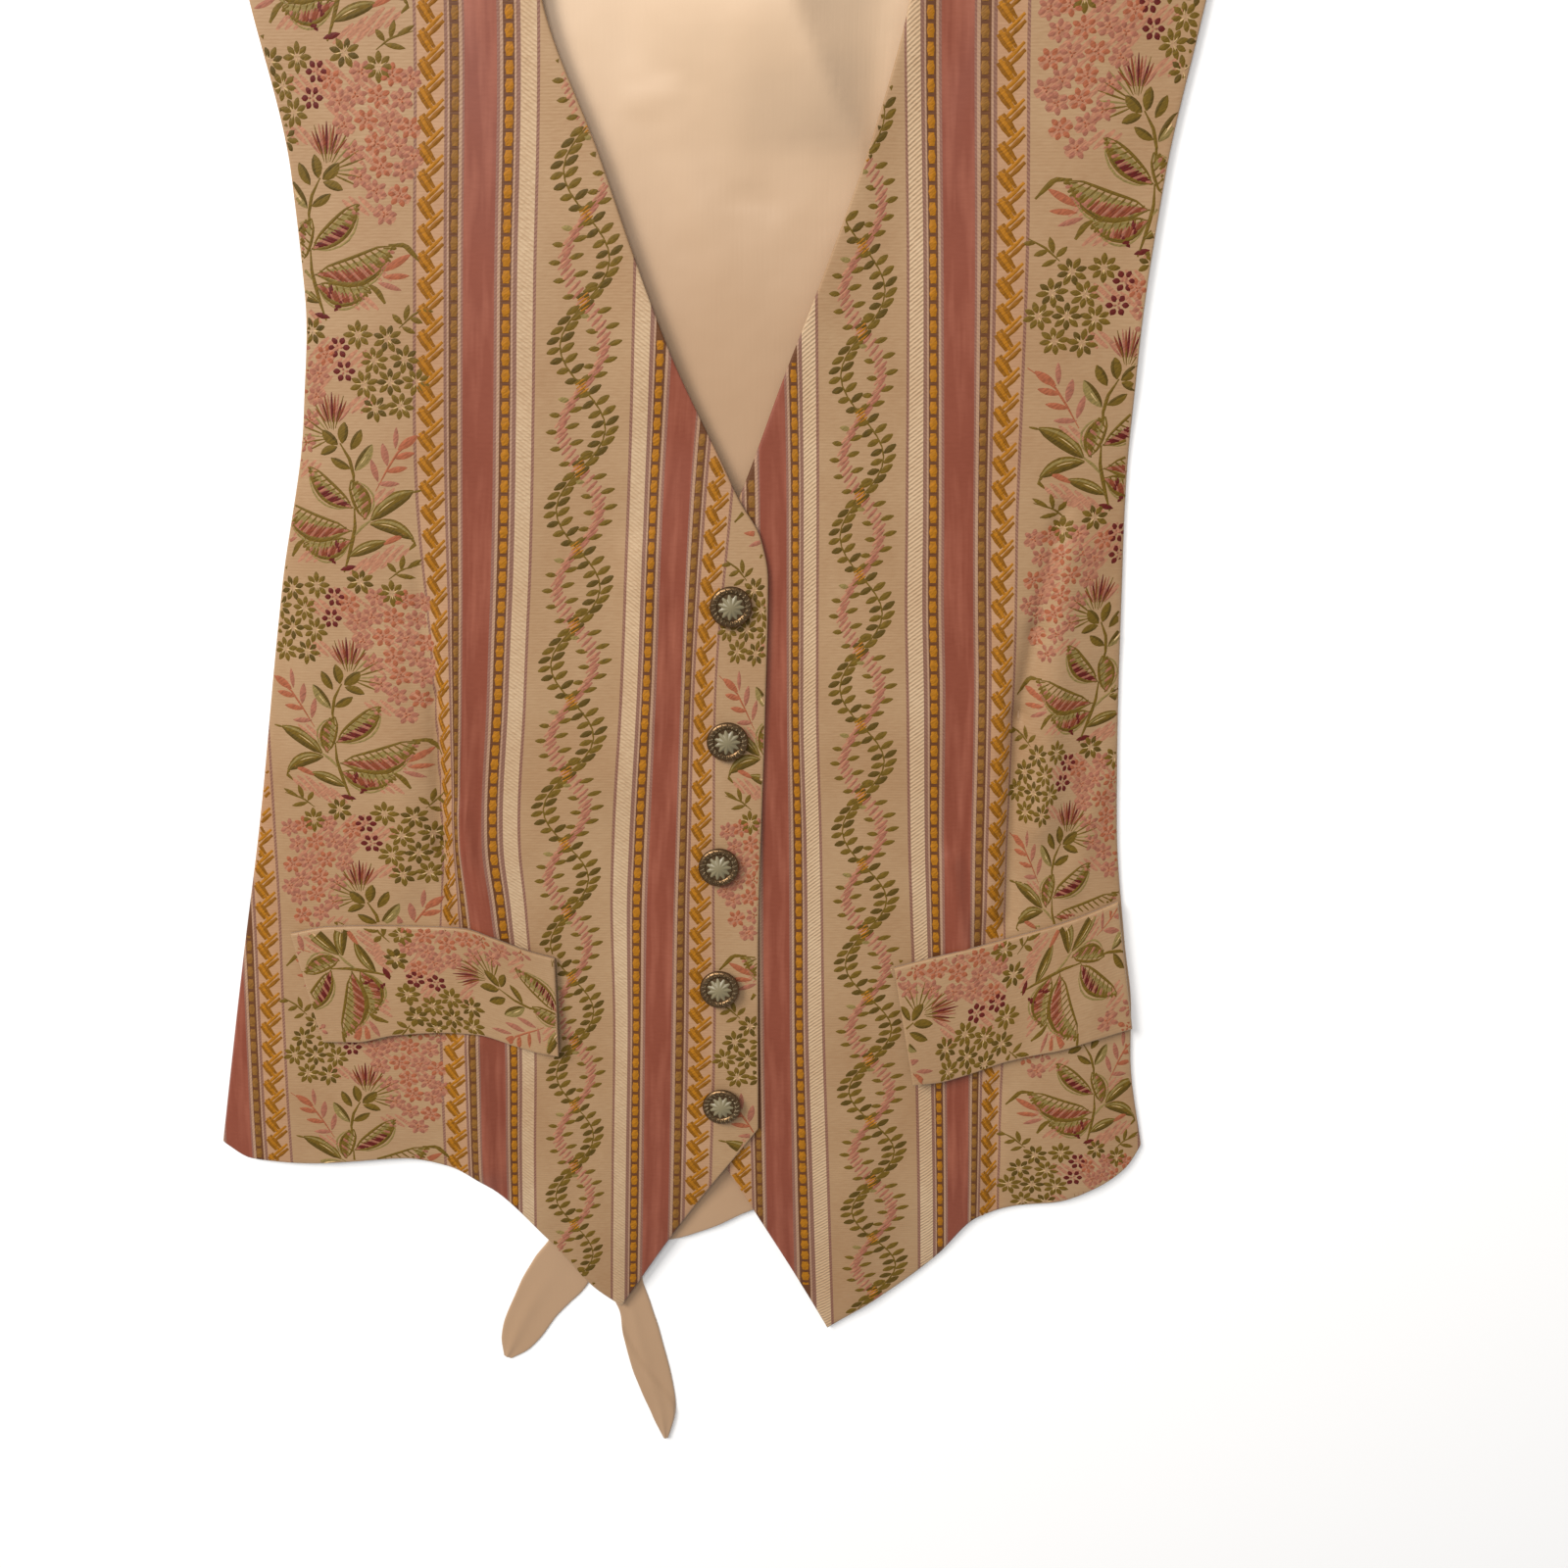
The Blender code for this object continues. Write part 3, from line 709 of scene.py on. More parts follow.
# Where the stripes run: X of each stripe at rows down the front. The columns are places across the
# weave, in mm from the vine stripe's middle, with the side seam's side positive.
PLACES = (-61.9, -42.7, -24.2, 0, 24.2, 42.7, 61.9, 68.5, 103, 144.1)
RIGHT_TRACKS = {
    388: (37, 19.5, 1, -21, -44, -62.5, -82, -88.5, -126, -165),
    283: (35, 17, -1, -23.5, -47, -65.6, -84.9, -91.2, -129, -168),
    180: (30, 12, -6.5, -30, -54.3, -72.7, -92.1, -98.8, -136, -175),
    90: (21.2, 3.8, -12, -36.5, -60, -79, -97.5, -104.2, -140.7, -180),
    10: (14.5, -0.6, -17.4, -42.5, -67, -85.8, -99.3, -102.2, -143, -183),
    -60: (12.2, -5, -23.3, -48.5, -73.1, -92, -101.2, -103.7, -144.5, -185.8),
    -90: (11.3, -6.9, -25.2, -48.8, -71.4, -89.4, -102.8, -106.5, -146, -187),
    -140: (10.5, -9.5, -26.1, -48, -70.3, -86.4, -103.9, -110.5, -150, -190),
    -220: (7.6, -12.5, -29.5, -51, -74, -89.1, -107.5, -114.1, -153.5, -194.5),
    -320: (3, -17, -34, -55.5, -79, -93.5, -112.5, -119, -158, -199),
}
LEFT_TRACKS = {
    388: (18, 37, 54, 77, 96, 112, 134, 140.5, 180, 222),
    283: (21, 40, 56.5, 79.5, 98, 114.2, 136.1, 142.5, 182, 224),
    180: (24, 43, 58.5, 81, 102.2, 118.3, 139.9, 146.4, 186, 228),
    90: (26.5, 45.5, 59.9, 81.3, 104.3, 122, 141, 147, 184.5, 226),
    50: (26.8, 45.5, 60, 81.5, 105, 123.4, 142.7, 148.3, 181, 222),
    10: (27, 45.7, 60, 82.5, 106.6, 125.3, 144.2, 149, 176, 216),
    -60: (27, 46.1, 62.1, 84.5, 109.3, 126.4, 145.8, 149.4, 173, 213),
    -90: (27.1, 46.1, 62.7, 85.5, 111.1, 127.4, 146.2, 150, 174, 214),
    -140: (27.3, 46.1, 63.3, 88.5, 114.1, 129.5, 146.7, 151.4, 183, 219),
    -220: (28.5, 46.6, 66, 91.5, 118.1, 132.7, 148.2, 153, 191, 226),
    -320: (30, 47.8, 69.8, 94.5, 122, 137, 150.5, 156, 196, 232),
}
TRACK_STEP = 2
Front = namedtuple("Front", "edge side to_point to_side tracks")


def tracked(tracks):
    """The stripe table filled in at every step down the front."""
    levels = np.arange(-330, 392, TRACK_STEP)
    columns = [
        [through([(y, row[i]) for y, row in tracks.items()], y) for y in levels]
        for i in range(len(PLACES))
    ]
    return levels, np.array(columns).T


RIGHT_FRONT = Front(
    RIGHT_EDGE, RIGHT_SIDE, RIGHT_HEM_TO_POINT, RIGHT_HEM_TO_SIDE, tracked(RIGHT_TRACKS)
)
LEFT_FRONT = Front(LEFT_EDGE, LEFT_SIDE, LEFT_HEM_TO_POINT, LEFT_HEM_TO_SIDE, tracked(LEFT_TRACKS))


def track_row(front, y):
    levels, rows = front.tracks
    at = np.clip((y - levels[0]) / TRACK_STEP, 0, len(levels) - 1.001)
    low = int(at)
    return rows[low] + (rows[low + 1] - rows[low]) * (at - low)


def stretched(at, knots, values):
    """Straight-line interpolation that also runs on past both ends."""
    if at < knots[0]:
        return values[0] + (at - knots[0]) * (values[1] - values[0]) / (knots[1] - knots[0])
    if at > knots[-1]:
        return values[-1] + (at - knots[-1]) * (values[-1] - values[-2]) / (knots[-1] - knots[-2])
    return float(np.interp(at, knots, values))


def place_across(front, x, y):
    """Place across the weave of the point (x, y) of a front."""
    row = track_row(front, y)
    if row[0] > row[-1]:
        return stretched(-x, -row, PLACES)
    return stretched(x, row, PLACES)


def x_of(front, place, y):
    return stretched(place, PLACES, track_row(front, y))


def hem_at(front, x):
    point_x, edge_x = front.to_side[0].x, front.edge[-1].x
    toward_edge = (x - point_x) * (edge_x - point_x) > 0
    return through(front.to_point if toward_edge else front.to_side, x)


def front_points(front):
    """Rows from shoulder to hem, each across from the front edge to the side edge."""
    last_edge, last_side = front.edge[-1], front.side[-1]
    width = abs(last_side.x - last_edge.x) - SIDE_TURN
    shares = shares_with_edges(width + SIDE_TURN, STEP_ACROSS)
    point = abs(front.to_side[0].x - last_edge.x) / (width + SIDE_TURN)
    shares[min(range(len(shares)), key=lambda i: abs(shares[i] - point))] = point
    ends = [mix(last_edge.x, last_side.x, share) for share in shares]
    excess = [
        hem_at(front, x) - mix(last_edge.y, last_side.y, share) for x, share in zip(ends, shares)
    ]
    xs, ys = [], []
    for down in shares_with_edges(front.edge[0].y - last_edge.y, STEP_DOWN):
        edge_y, side_y = mix(front.edge[0].y, last_edge.y, down), mix(front.side[0].y, last_side.y, down)
        inner, outer = through(front.edge, edge_y), through(front.side, side_y)
        pull = max(0.0, (down - 0.45) / 0.55) ** 2
        xs.append([mix(inner, outer, share) for share in shares])
        ys.append([mix(edge_y, side_y, s) + e * pull for s, e in zip(shares, excess)])
    return np.array(xs), np.array(ys)


def front_piece(name, node_name, front, creases, material):
    xs, ys = front_points(front)
    zs = drape(xs, ys, frame["nodes"][node_name], 16, creases, 0.3)
    across = np.array([[place_across(front, x, y) for x, y in zip(*line)] for line in zip(xs, ys)])
    made = cloth(name, xs, ys, zs, FRONT_CLOTH, material, (across, ys))
    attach(made, "root")
    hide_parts(node_name)
    return made


left_cloth = front_piece("left_front_brocade", "front_left", LEFT_FRONT, LEFT_CREASES, striped_brocade)
right_cloth = front_piece(
    "right_front_brocade", "front_right", RIGHT_FRONT, RIGHT_CREASES, striped_brocade
)


# Pocket flaps
# Each flap is a strip cut along the floral stripe, sewn by its upper edge over the pocket and
# pressed down. It waves off the front at its lower edge and at the end nearer the buttons.

FlapRow = namedtuple("FlapRow", "top_x top_y bottom_x bottom_y")
RIGHT_FLAP = table(
    FlapRow,
    (-176, -102, -166, -156.5),
    (-157.5, -98.5, -150.5, -156.5),
    (-139.5, -98, -131.5, -152.5),
    (-117.5, -98, -109.5, -151),
    (-97.5, -98.5, -93, -152),
    (-83, -103, -75.5, -157.5),
    (-68, -109, -64, -160.5),
    (-55.5, -113, -55.5, -161.5),
)
LEFT_FLAP = table(
    FlapRow,
    (99.5, -118, 109.5, -177),
    (114, -114, 121, -176.5),
    (133.5, -109, 135.5, -173),
    (153, -104, 151, -167.5),
    (167, -100, 166, -163.5),
    (181.5, -95, 178.5, -160.5),
    (192.5, -90.5, 193.5, -156),
    (201, -87, 212, -151),
)
FLAP_LONG = 118
FLAP_DEEP = 54
FLAP_STEP = 2.4


def on_flap(rows, along, down):
    """The point of a flap at shares along its length and down from its sewn edge."""
    at = along * (len(rows) - 1)
    low, values = min(int(at), len(rows) - 2), []
    for name in FlapRow._fields:
        column = list(enumerate(getattr(row, name) for row in rows))
        values.append(through(column[max(0, low - 1) : low + 3], at))
    top_x, top_y, bottom_x, bottom_y = values
    return mix(top_x, bottom_x, down), mix(top_y, bottom_y, down)


def flap_piece(name, node_name, rows):
    alongs, downs = (shares_with_edges(size, FLAP_STEP) for size in (FLAP_LONG, FLAP_DEEP))
    points = np.array([[on_flap(rows, along, down) for along in alongs] for down in downs])
    xs, ys = points[:, :, 0], points[:, :, 1]
    zs = drape(xs, ys, frame["nodes"][node_name], 8, (), 0.2)
    weave = np.meshgrid([a * FLAP_LONG for a in alongs], [d * FLAP_DEEP for d in downs])
    made = cloth(name, xs, ys, zs, FLAP_CLOTH, ground_brocade, weave)
    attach(made, "root")
    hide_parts(node_name)
    return made


right_flap = flap_piece("right_flap_brocade", "flap_right", RIGHT_FLAP)
left_flap = flap_piece("left_flap_brocade", "flap_left", LEFT_FLAP)


# Figures of the weave
# Threads of silk-look rayon that float on the brocade's face where the figures are: ropes, ladders,
# vines and flowers. Each float is a low mound of threads, so a leaf or petal is one short stitch.

THREADS = {
    "gold_rayon_thread": "#99620E",
    "old_gold_rayon_thread": "#7E4F08",
    "dull_gold_rayon_thread": "#7C5422",
    "olive_rayon_thread": "#634C12",
    "dark_olive_rayon_thread": "#503D0C",
    "sage_rayon_thread": "#7E6B3C",
    "burgundy_rayon_thread": "#561610",
    "russet_rayon_thread": "#74371F",
    "coral_rayon_thread": "#925236",
    "pink_rayon_thread": "#905A46",
    "blush_rayon_thread": "#9E6C52",
    "pale_rayon_thread": "#B99C70",
}


STRANDS_PER_METRE = (420, 1500, 1)
STRAND_SLANT_DEG = 35


def thread_material(name, hex_colour):
    """Fine floats laid side by side, painted lighter and darker along their slant in step with their bump:
    painted sheen and shade on the strands.
    """
    material = new_material(name, hex_colour, 0.6, Specular_IOR_Level=0.18)
    add = partial(node, material)
    at = add("TexCoord", {}, "Object")
    turned = add("Mapping", {"Vector": at, "Rotation": (0, 0, math.radians(-STRAND_SLANT_DEG))})
    slant = add("Mapping", {"Vector": turned, "Scale": STRANDS_PER_METRE})
    strands = add("TexNoise", {"Vector": slant, "Scale": 1, "Detail": 1})
    painted_strand_light = {0: strands, 6: linear(hex_colour, 0.45), 7: linear(hex_colour, 1.55)}
    link_surface(material, add("Mix", painted_strand_light, 2, data_type="RGBA"), strands, 0.5, 0.3)
    return material


thread_materials = [thread_material(name, colour) for name, colour in THREADS.items()]
GOLD, OLD_GOLD, DULL_GOLD, OLIVE, DARK_OLIVE, SAGE = range(6)
BURGUNDY, RUSSET, CORAL, PINK, BLUSH, PALE = range(6, 12)
FLOAT_RISE = 0.32
FLOAT_SINK = 0.04
STATION = 1.9


class Figures:
    """The woven figures of one piece of cloth, gathered into one mesh."""

    def __init__(self, cloth_piece, place, covered):
        self.tree = tree_of(cloth_piece)
        self.place = place
        self.covered = covered
        self.points, self.faces, self.threads = [], [], []

    def landed(self, s, t, rise):
        at = self.place(s, t)
        if at is None or self.covered(*at):
            return None
        z = drop_on(self.tree, *at)
        return None if z is None else (at[0] * MM, at[1] * MM, (z + rise) * MM)

    def stitch(self, thread, path, width, rise=FLOAT_RISE, tip=0.15):
        """One float along a path of weave places, widest in its middle and narrowed to tip at its ends."""
        path = [Vector(p) for p in path]
        lengths = [0.0]
        for a, b in zip(path, path[1:]):
            lengths.append(lengths[-1] + (b - a).length)
        total = lengths[-1]
        count = max(4 if width > 1.6 else 2, math.ceil(total / STATION))
        stations = []
        for i in range(count + 1):
            at = total * i / count
            span = max(k for k in range(len(path) - 1) if lengths[k] <= at + 1e-6)
            start, end = path[span], path[span + 1]
            share = (at - lengths[span]) / max(1e-6, lengths[span + 1] - lengths[span])
            centre = start.lerp(end, share)
            ahead = (end - start).normalized()
            fullness = abs(math.sin(math.pi * i / count))
            side = Vector((-ahead.y, ahead.x)) * 0.5 * width * max(tip, fullness**0.6)
            lift = rise * (0.4 + 0.6 * fullness)
            row = [
                self.landed(*(centre - side), -FLOAT_SINK),
                self.landed(*centre, lift),
                self.landed(*(centre + side), -FLOAT_SINK),
            ]
            stations.append(row)
        for a, b in zip(stations, stations[1:]):
            if None in a or None in b:
                continue
            first = len(self.points)
            self.points += a + b
            self.faces += [(first + i, first + i + 1, first + i + 4, first + i + 3) for i in (0, 1)]
            self.threads += [thread, thread]

    def woven(self, name):
        made = mesh_object(name, self.points, self.faces, *thread_materials)
        made.data.polygons.foreach_set("material_index", self.threads)
        made.data.shade_smooth()
        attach(made, "root")


def inside_flap(rows, x, y):
    """True within a flap's outline."""
    corners = [(r.top_x, r.top_y) for r in rows] + [(r.bottom_x, r.bottom_y) for r in reversed(rows)]
    inside = False
    for (ax, ay), (bx, by) in zip(corners, corners[1:] + corners[:1]):
        if (ay > y) != (by > y) and x < (bx - ax) * (y - ay) / (by - ay) + ax:
            inside = not inside
    return inside


def right_covered(x, y):
    return -180 < x < -50 and -165 < y < -95 and inside_flap(RIGHT_FLAP, x, y)


def left_covered(x, y):
    if 95 < x < 215 and -180 < y < -85 and inside_flap(LEFT_FLAP, x, y):
        return True
    if y > 90:
        return False
    if y > RIGHT_EDGE[-1].y:
        return x < through(RIGHT_EDGE, y) - 1
    return x < 37 and y > through(RIGHT_HEM_TO_POINT, x) + 1


right_figures = Figures(right_cloth, lambda s, t: (x_of(RIGHT_FRONT, s, t), t), right_covered)
left_figures = Figures(left_cloth, lambda s, t: (x_of(LEFT_FRONT, s, t), t), left_covered)


# Ropes and ladders
# Beside each pink stripe runs a ladder of gold blocks. The outer ladder has a gold rope beyond it,
# woven in each turn as three short floats that fall to the right and two that rise from them.

ROPE_PITCH = 10
LADDER_PITCH = 6.35
LADDER_BLOCK = 4.9
THICK_RISE, BLUNT_TIP = 0.5, 0.75
LADDER_PLACES = (-52.6, -31.8, 31.8, 52.6, 153.4)
ROPE_PLACES = (-61.9, 61.9, 144.1)
LOWEST, HIGHEST = -322, 388


def rope(figures, place, right):
    """right is +1 where the weave's places grow towards +X."""
    for i in range(int((HIGHEST - LOWEST) / ROPE_PITCH)):
        t = LOWEST + i * ROPE_PITCH
        for thread, start, end, width in (
            (OLD_GOLD, (-5.1, 1.8), (-0.9, -4.2), 2.0),
            (GOLD, (-4.4, 3.2), (0.4, -3.8), 2.2),
            (OLD_GOLD, (-3.2, 4.0), (1.4, -2.6), 2.0),
            (GOLD, (-3.0, 2.0), (4.7, 9.2), 1.8),
            (OLD_GOLD, (-1.0, 1.2), (5.0, 6.6), 2.1),
        ):
            path = [(place + right * u, t + v) for u, v in (start, end)]
            figures.stitch(thread, path, width, THICK_RISE, BLUNT_TIP)


def ladder(figures, place, thread):
    for i in range(int((HIGHEST - LOWEST) / LADDER_PITCH)):
        t = LOWEST + i * LADDER_PITCH
        width = 3.8 if thread == GOLD else 3.3
        path = [(place, t), (place, t + LADDER_BLOCK)]
        figures.stitch(thread, path, width, THICK_RISE, BLUNT_TIP)


for figures, right in ((right_figures, -1), (left_figures, 1)):
    for place in ROPE_PLACES:
        rope(figures, place, right)
    for place in LADDER_PLACES:
        ladder(figures, place, GOLD if abs(place) < 40 else DULL_GOLD)


# Vines
# Two vines cross every 33 mm down the middle stripe. One is olive with close pairs of leaves, the
# other is pink with few leaves, and a few gold floats cover each crossing.

VINE_SWING = 9.8
PINK_SWING = 8.4
LEAF_PAIRS = 8
PINK_STITCHES = 22
Vine = namedtuple("Vine", "crossing half_turn olive_first")


def vine(figures, course, right):
    """Both vines down a front; olive_first is the side, in X, of the olive one below the crossing."""

    def stitch(thread, start, end, *sizes):
        figures.stitch(thread, [(right * x, t) for x, t in (start, end)], *sizes)

    for turn in range(-9, 14):
        top = course.crossing - turn * course.half_turn
        side = course.olive_first * (1 if turn % 2 == 0 else -1)

        def down(share, swing, top=top):
            return swing * math.sin(math.pi * share), top - course.half_turn * share

        for i in range(LEAF_PAIRS):
            start, end = (down(j / LEAF_PAIRS, side * VINE_SWING) for j in (i, i + 1))
            stitch(OLIVE, start, end, 0.95, 0.3, 0.8)
            x, t = down((i + 0.5) / LEAF_PAIRS, side * VINE_SWING)
            shade = OLIVE if i % 3 else DARK_OLIVE
            stitch(shade, (x + 0.3, t - 0.4), (x + 5.6, t + 3.2), 3.2, 0.36, 0.3)
            shade = DARK_OLIVE if i % 2 else OLIVE
            stitch(shade, (x - 0.3, t + 1), (x - 5.5, t - 2.4 + 0.35 * i), 3.1, 0.36, 0.3)
        for i in range(PINK_STITCHES):
            x, t = down((i + 0.5) / PINK_STITCHES, -side * PINK_SWING)
            x, t = x + (i % 3 - 1) * 0.9, t - (i % 3 - 1) * 0.45
            stitch(PINK if i % 3 else BLUSH, (x - 2.1, t - 2.2), (x + 2.1, t + 2.2), 1.7, 0.25, 0.6)
        for share in (0.14, 0.32, 0.52, 0.72, 0.9):
            x, t = down(share, -side * PINK_SWING)
            stitch(OLIVE, (x + 1.6, t + 1.0), (x + 7.4, t + 2.8), 2.6, 0.36, 0.3)
            stitch(SAGE if share < 0.3 else OLIVE, (x - 1.6, t - 0.6), (x - 6.6, t + 0.5 - 2 * share), 2.5)
        for drop in (-2, -0.6, 0.8, 2.2):
            start, end = (-2.4 - drop * 0.3, top + drop - 1.2), (1.8 - drop * 0.3, top + drop + 1.8)
            stitch(GOLD, start, end, 1.25, 0.5, 0.4)


vine(right_figures, Vine(106.3, 32.95, -1), -1)
vine(left_figures, Vine(95.1, 32.73, -1), 1)


# Floral stripe
# One figure, about 102 mm long and turned over each time, climbs the broad stripe: a fan of hatched
# leaves, ferns, a thistle, small leaves in rosettes, two burgundy flowers and a mass of blossom.

FLORAL_PITCH = 102
HATCH_SPACING = 1.25
Leaf = namedtuple("Leaf", "base tip bow width inner outer")
Float = namedtuple("Float", "thread start end width")
HATCHED_LEAVES = table(
    Leaf,
    ((4.6, 26), (-12.5, 43), 1.8, 9, BURGUNDY, OLIVE),
    ((3.1, 16.5), (-25.5, 27.3), 4, 12.5, RUSSET, OLIVE),
    ((3.5, 12.5), (-17, 11), 3, 9.5, RUSSET, OLIVE),
    ((9.8, 21.5), (4.8, 37.5), -1.2, 8, OLIVE, OLIVE),
)
PLAIN_LEAVES = table(
    Leaf,
    ((12, 21), (29.5, 33), 1.5, 7.2, OLIVE, PALE),
    ((11.5, 19.4), (28, 13), 2.2, 6.6, OLIVE, PALE),
    ((2.4, 5.8), (17.5, 12), 0.8, 5.4, OLIVE, PALE),
    ((6.6, 41.5), (13.8, 52), -0.6, 5.2, SAGE, PALE),
    ((5.2, 50), (9.6, 58), -0.4, 4.2, OLIVE, OLIVE),
    ((1.8, 52.5), (3.2, 61), 0.3, 4.6, OLIVE, OLIVE),
    ((0, 52), (-6, 57.8), 0.5, 4.8, OLIVE, OLIVE),
    ((-0.2, 51), (-7.2, 48), -0.4, 3.8, OLIVE, OLIVE),
    ((4.6, 42.2), (-2.8, 46.6), 0.5, 3.8, OLIVE, OLIVE),
)
STEMS = (
    (OLIVE, ((0, -1), (2.4, 6.5), (4.2, 13), (5.4, 18), (5.6, 26)), 1.8),
    (SAGE, ((4.6, 14), (8, 18), (12.5, 21.5)), 1.5),
    (OLIVE, ((-24, 27.6), (-30, 27.6), (-36.5, 20.5)), 2.3),
    (OLIVE, ((-16, 13), (-19.5, 10.5), (-22.5, 5.5)), 2.6),
    (OLIVE, ((27, 14), (28.5, 11), (26, 8.6)), 1.8),
    (OLIVE, ((29, 32.5), (33, 33.5)), 1.2),
    (OLIVE, ((5.4, 34), (6, 39), (4.6, 46), (1, 52.5)), 1.6),
    (CORAL, ((14.5, 33), (19.5, 42), (24, 49), (34.5, 57)), 1.0),
    (OLIVE, ((24.8, 98), (30, 103), (36, 106.5)), 1.0),
    (OLIVE, ((17, -4), (22, 0), (30, 2.5)), 1.0),
)
FERNS = table(
    Float,
    (CORAL, (24, 50), (31.8, 55.6), 3.9),
    (PINK, (23, 50.5), (23.6, 59), 2.4),
    (CORAL, (22.5, 46.5), (30.5, 48.6), 3.1),
    (CORAL, (19, 41), (27.4, 42.6), 2.9),
    (PINK, (15.5, 36), (24, 36), 2.7),
    (PINK, (19.5, 43.5), (18, 52.5), 3.4),
    (PINK, (15.5, 37), (13.2, 46), 3.0),
    (CORAL, (-22, 17.8), (-32, 24), 3.4),
    (CORAL, (-22, 15.5), (-31.5, 16), 2.7),
    (PINK, (-20, 13.5), (-28.5, 10.5), 2.5),
    (PINK, (-17, 15.5), (-24.5, 21.5), 2.6),
    (CORAL, (15, 10.5), (25.5, 15.5), 2.6),
)
SMALL_LEAVES = table(
    Float,
    (OLIVE, (27, 101), (28.5, 107), 2.6),
    (OLIVE, (26, 99.5), (22.4, 103.4), 2.6),
    (OLIVE, (29, 102), (33.8, 100), 2.6),
    (OLIVE, (26, 98.5), (31, 96), 2.4),
    (OLIVE, (33, 105), (38, 104.4), 2.2),
    (OLIVE, (22, 0), (23.6, 6.4), 2.6),
    (OLIVE, (20, -1), (17, 3.2), 2.6),
    (OLIVE, (24, 0.6), (30.5, 4.4), 2.2),
    (OLIVE, (20, -2), (27.2, -3.6), 2.4),
)
BUDS = table(
    Float,
    (BURGUNDY, (-1.2, 6.6), (-2.4, 12.6), 3.0),
    (BURGUNDY, (-3.2, 2.6), (-7, 7.4), 3.0),
    (BURGUNDY, (-1.4, 0), (4.6, 1.6), 2.6),
)
ROSETTES = (
    (9.2, 95.5),
    (20.4, 94),
    (15.4, 85.4),
    (27, 86),
    (11.2, 76),
    (21.4, 77),
    (31.5, 77),
    (15.4, 66.6),
    (25.4, 67.4),
    (-8.6, 97),
    (-20.6, 92),
)
FLOWERS = ((1.6, 90.5), (3.6, 81.2))
BLOSSOMS = (
    (-31.6, 70.5),
    (-33, 60),
    (-32, 88),
    (-25.2, 89.4),
    (-6.4, 80),
    (-22.7, 39),
    (-28, 46),
    (-19.4, 47.6),
    (-29.4, 55),
    (-21.4, 56.4),
    (-13.6, 52.6),
    (-27.6, 63.6),
    (-19.4, 64.8),
    (-11.4, 62),
    (-24.4, 72.4),
    (-16, 73.2),
    (-8, 71.4),
    (-28.6, 80.4),
    (-20.4, 81.6),
    (-12.2, 82),
    (-14.4, 90.4),
    (-3.6, 87.6),
)
BLUSHES = (
    (-14, 6.5),
    (-19, 17.5),
    (8, 1.5),
    (13, 4),
    (19, 7),
    (17, 30.5),
    (-14.5, 42),
    (-17, 60),
    (-24.5, 67),
    (-8.5, 77),
    (-4.5, 84),
    (-16, 86),
    (-24, 76),
    (7.5, 86),
    (8.4, 68),
    (-3.4, 91),
)
THISTLE = (-1.7, 54.7)
THISTLE_TIPS = (
    (-12.6, 49.6),
    (-14.8, 52.6),
    (-16, 56),
    (-15.6, 59.6),
    (-14.4, 63.2),
    (-12, 66.6),
    (-9.6, 69.6),
    (-6.4, 71.4),
    (-3.4, 70.4),
    (-0.6, 69),
    (3, 71.6),
)


def bowed(leaf, off=0.0):
    """Points along a leaf from base to tip, off mm beside its midrib."""
    base, tip = Vector(leaf.base), Vector(leaf.tip)
    across = Vector((-(tip - base).y, (tip - base).x)).normalized()
    if leaf.bow < 0:
        across = -across
    bulge = [abs(math.sin(math.pi * k / 6)) for k in range(7)]
    rises = [abs(leaf.bow) * b + off * b**0.6 for b in bulge]
    return [base.lerp(tip, k / 6) + across * rise for k, rise in enumerate(rises)]


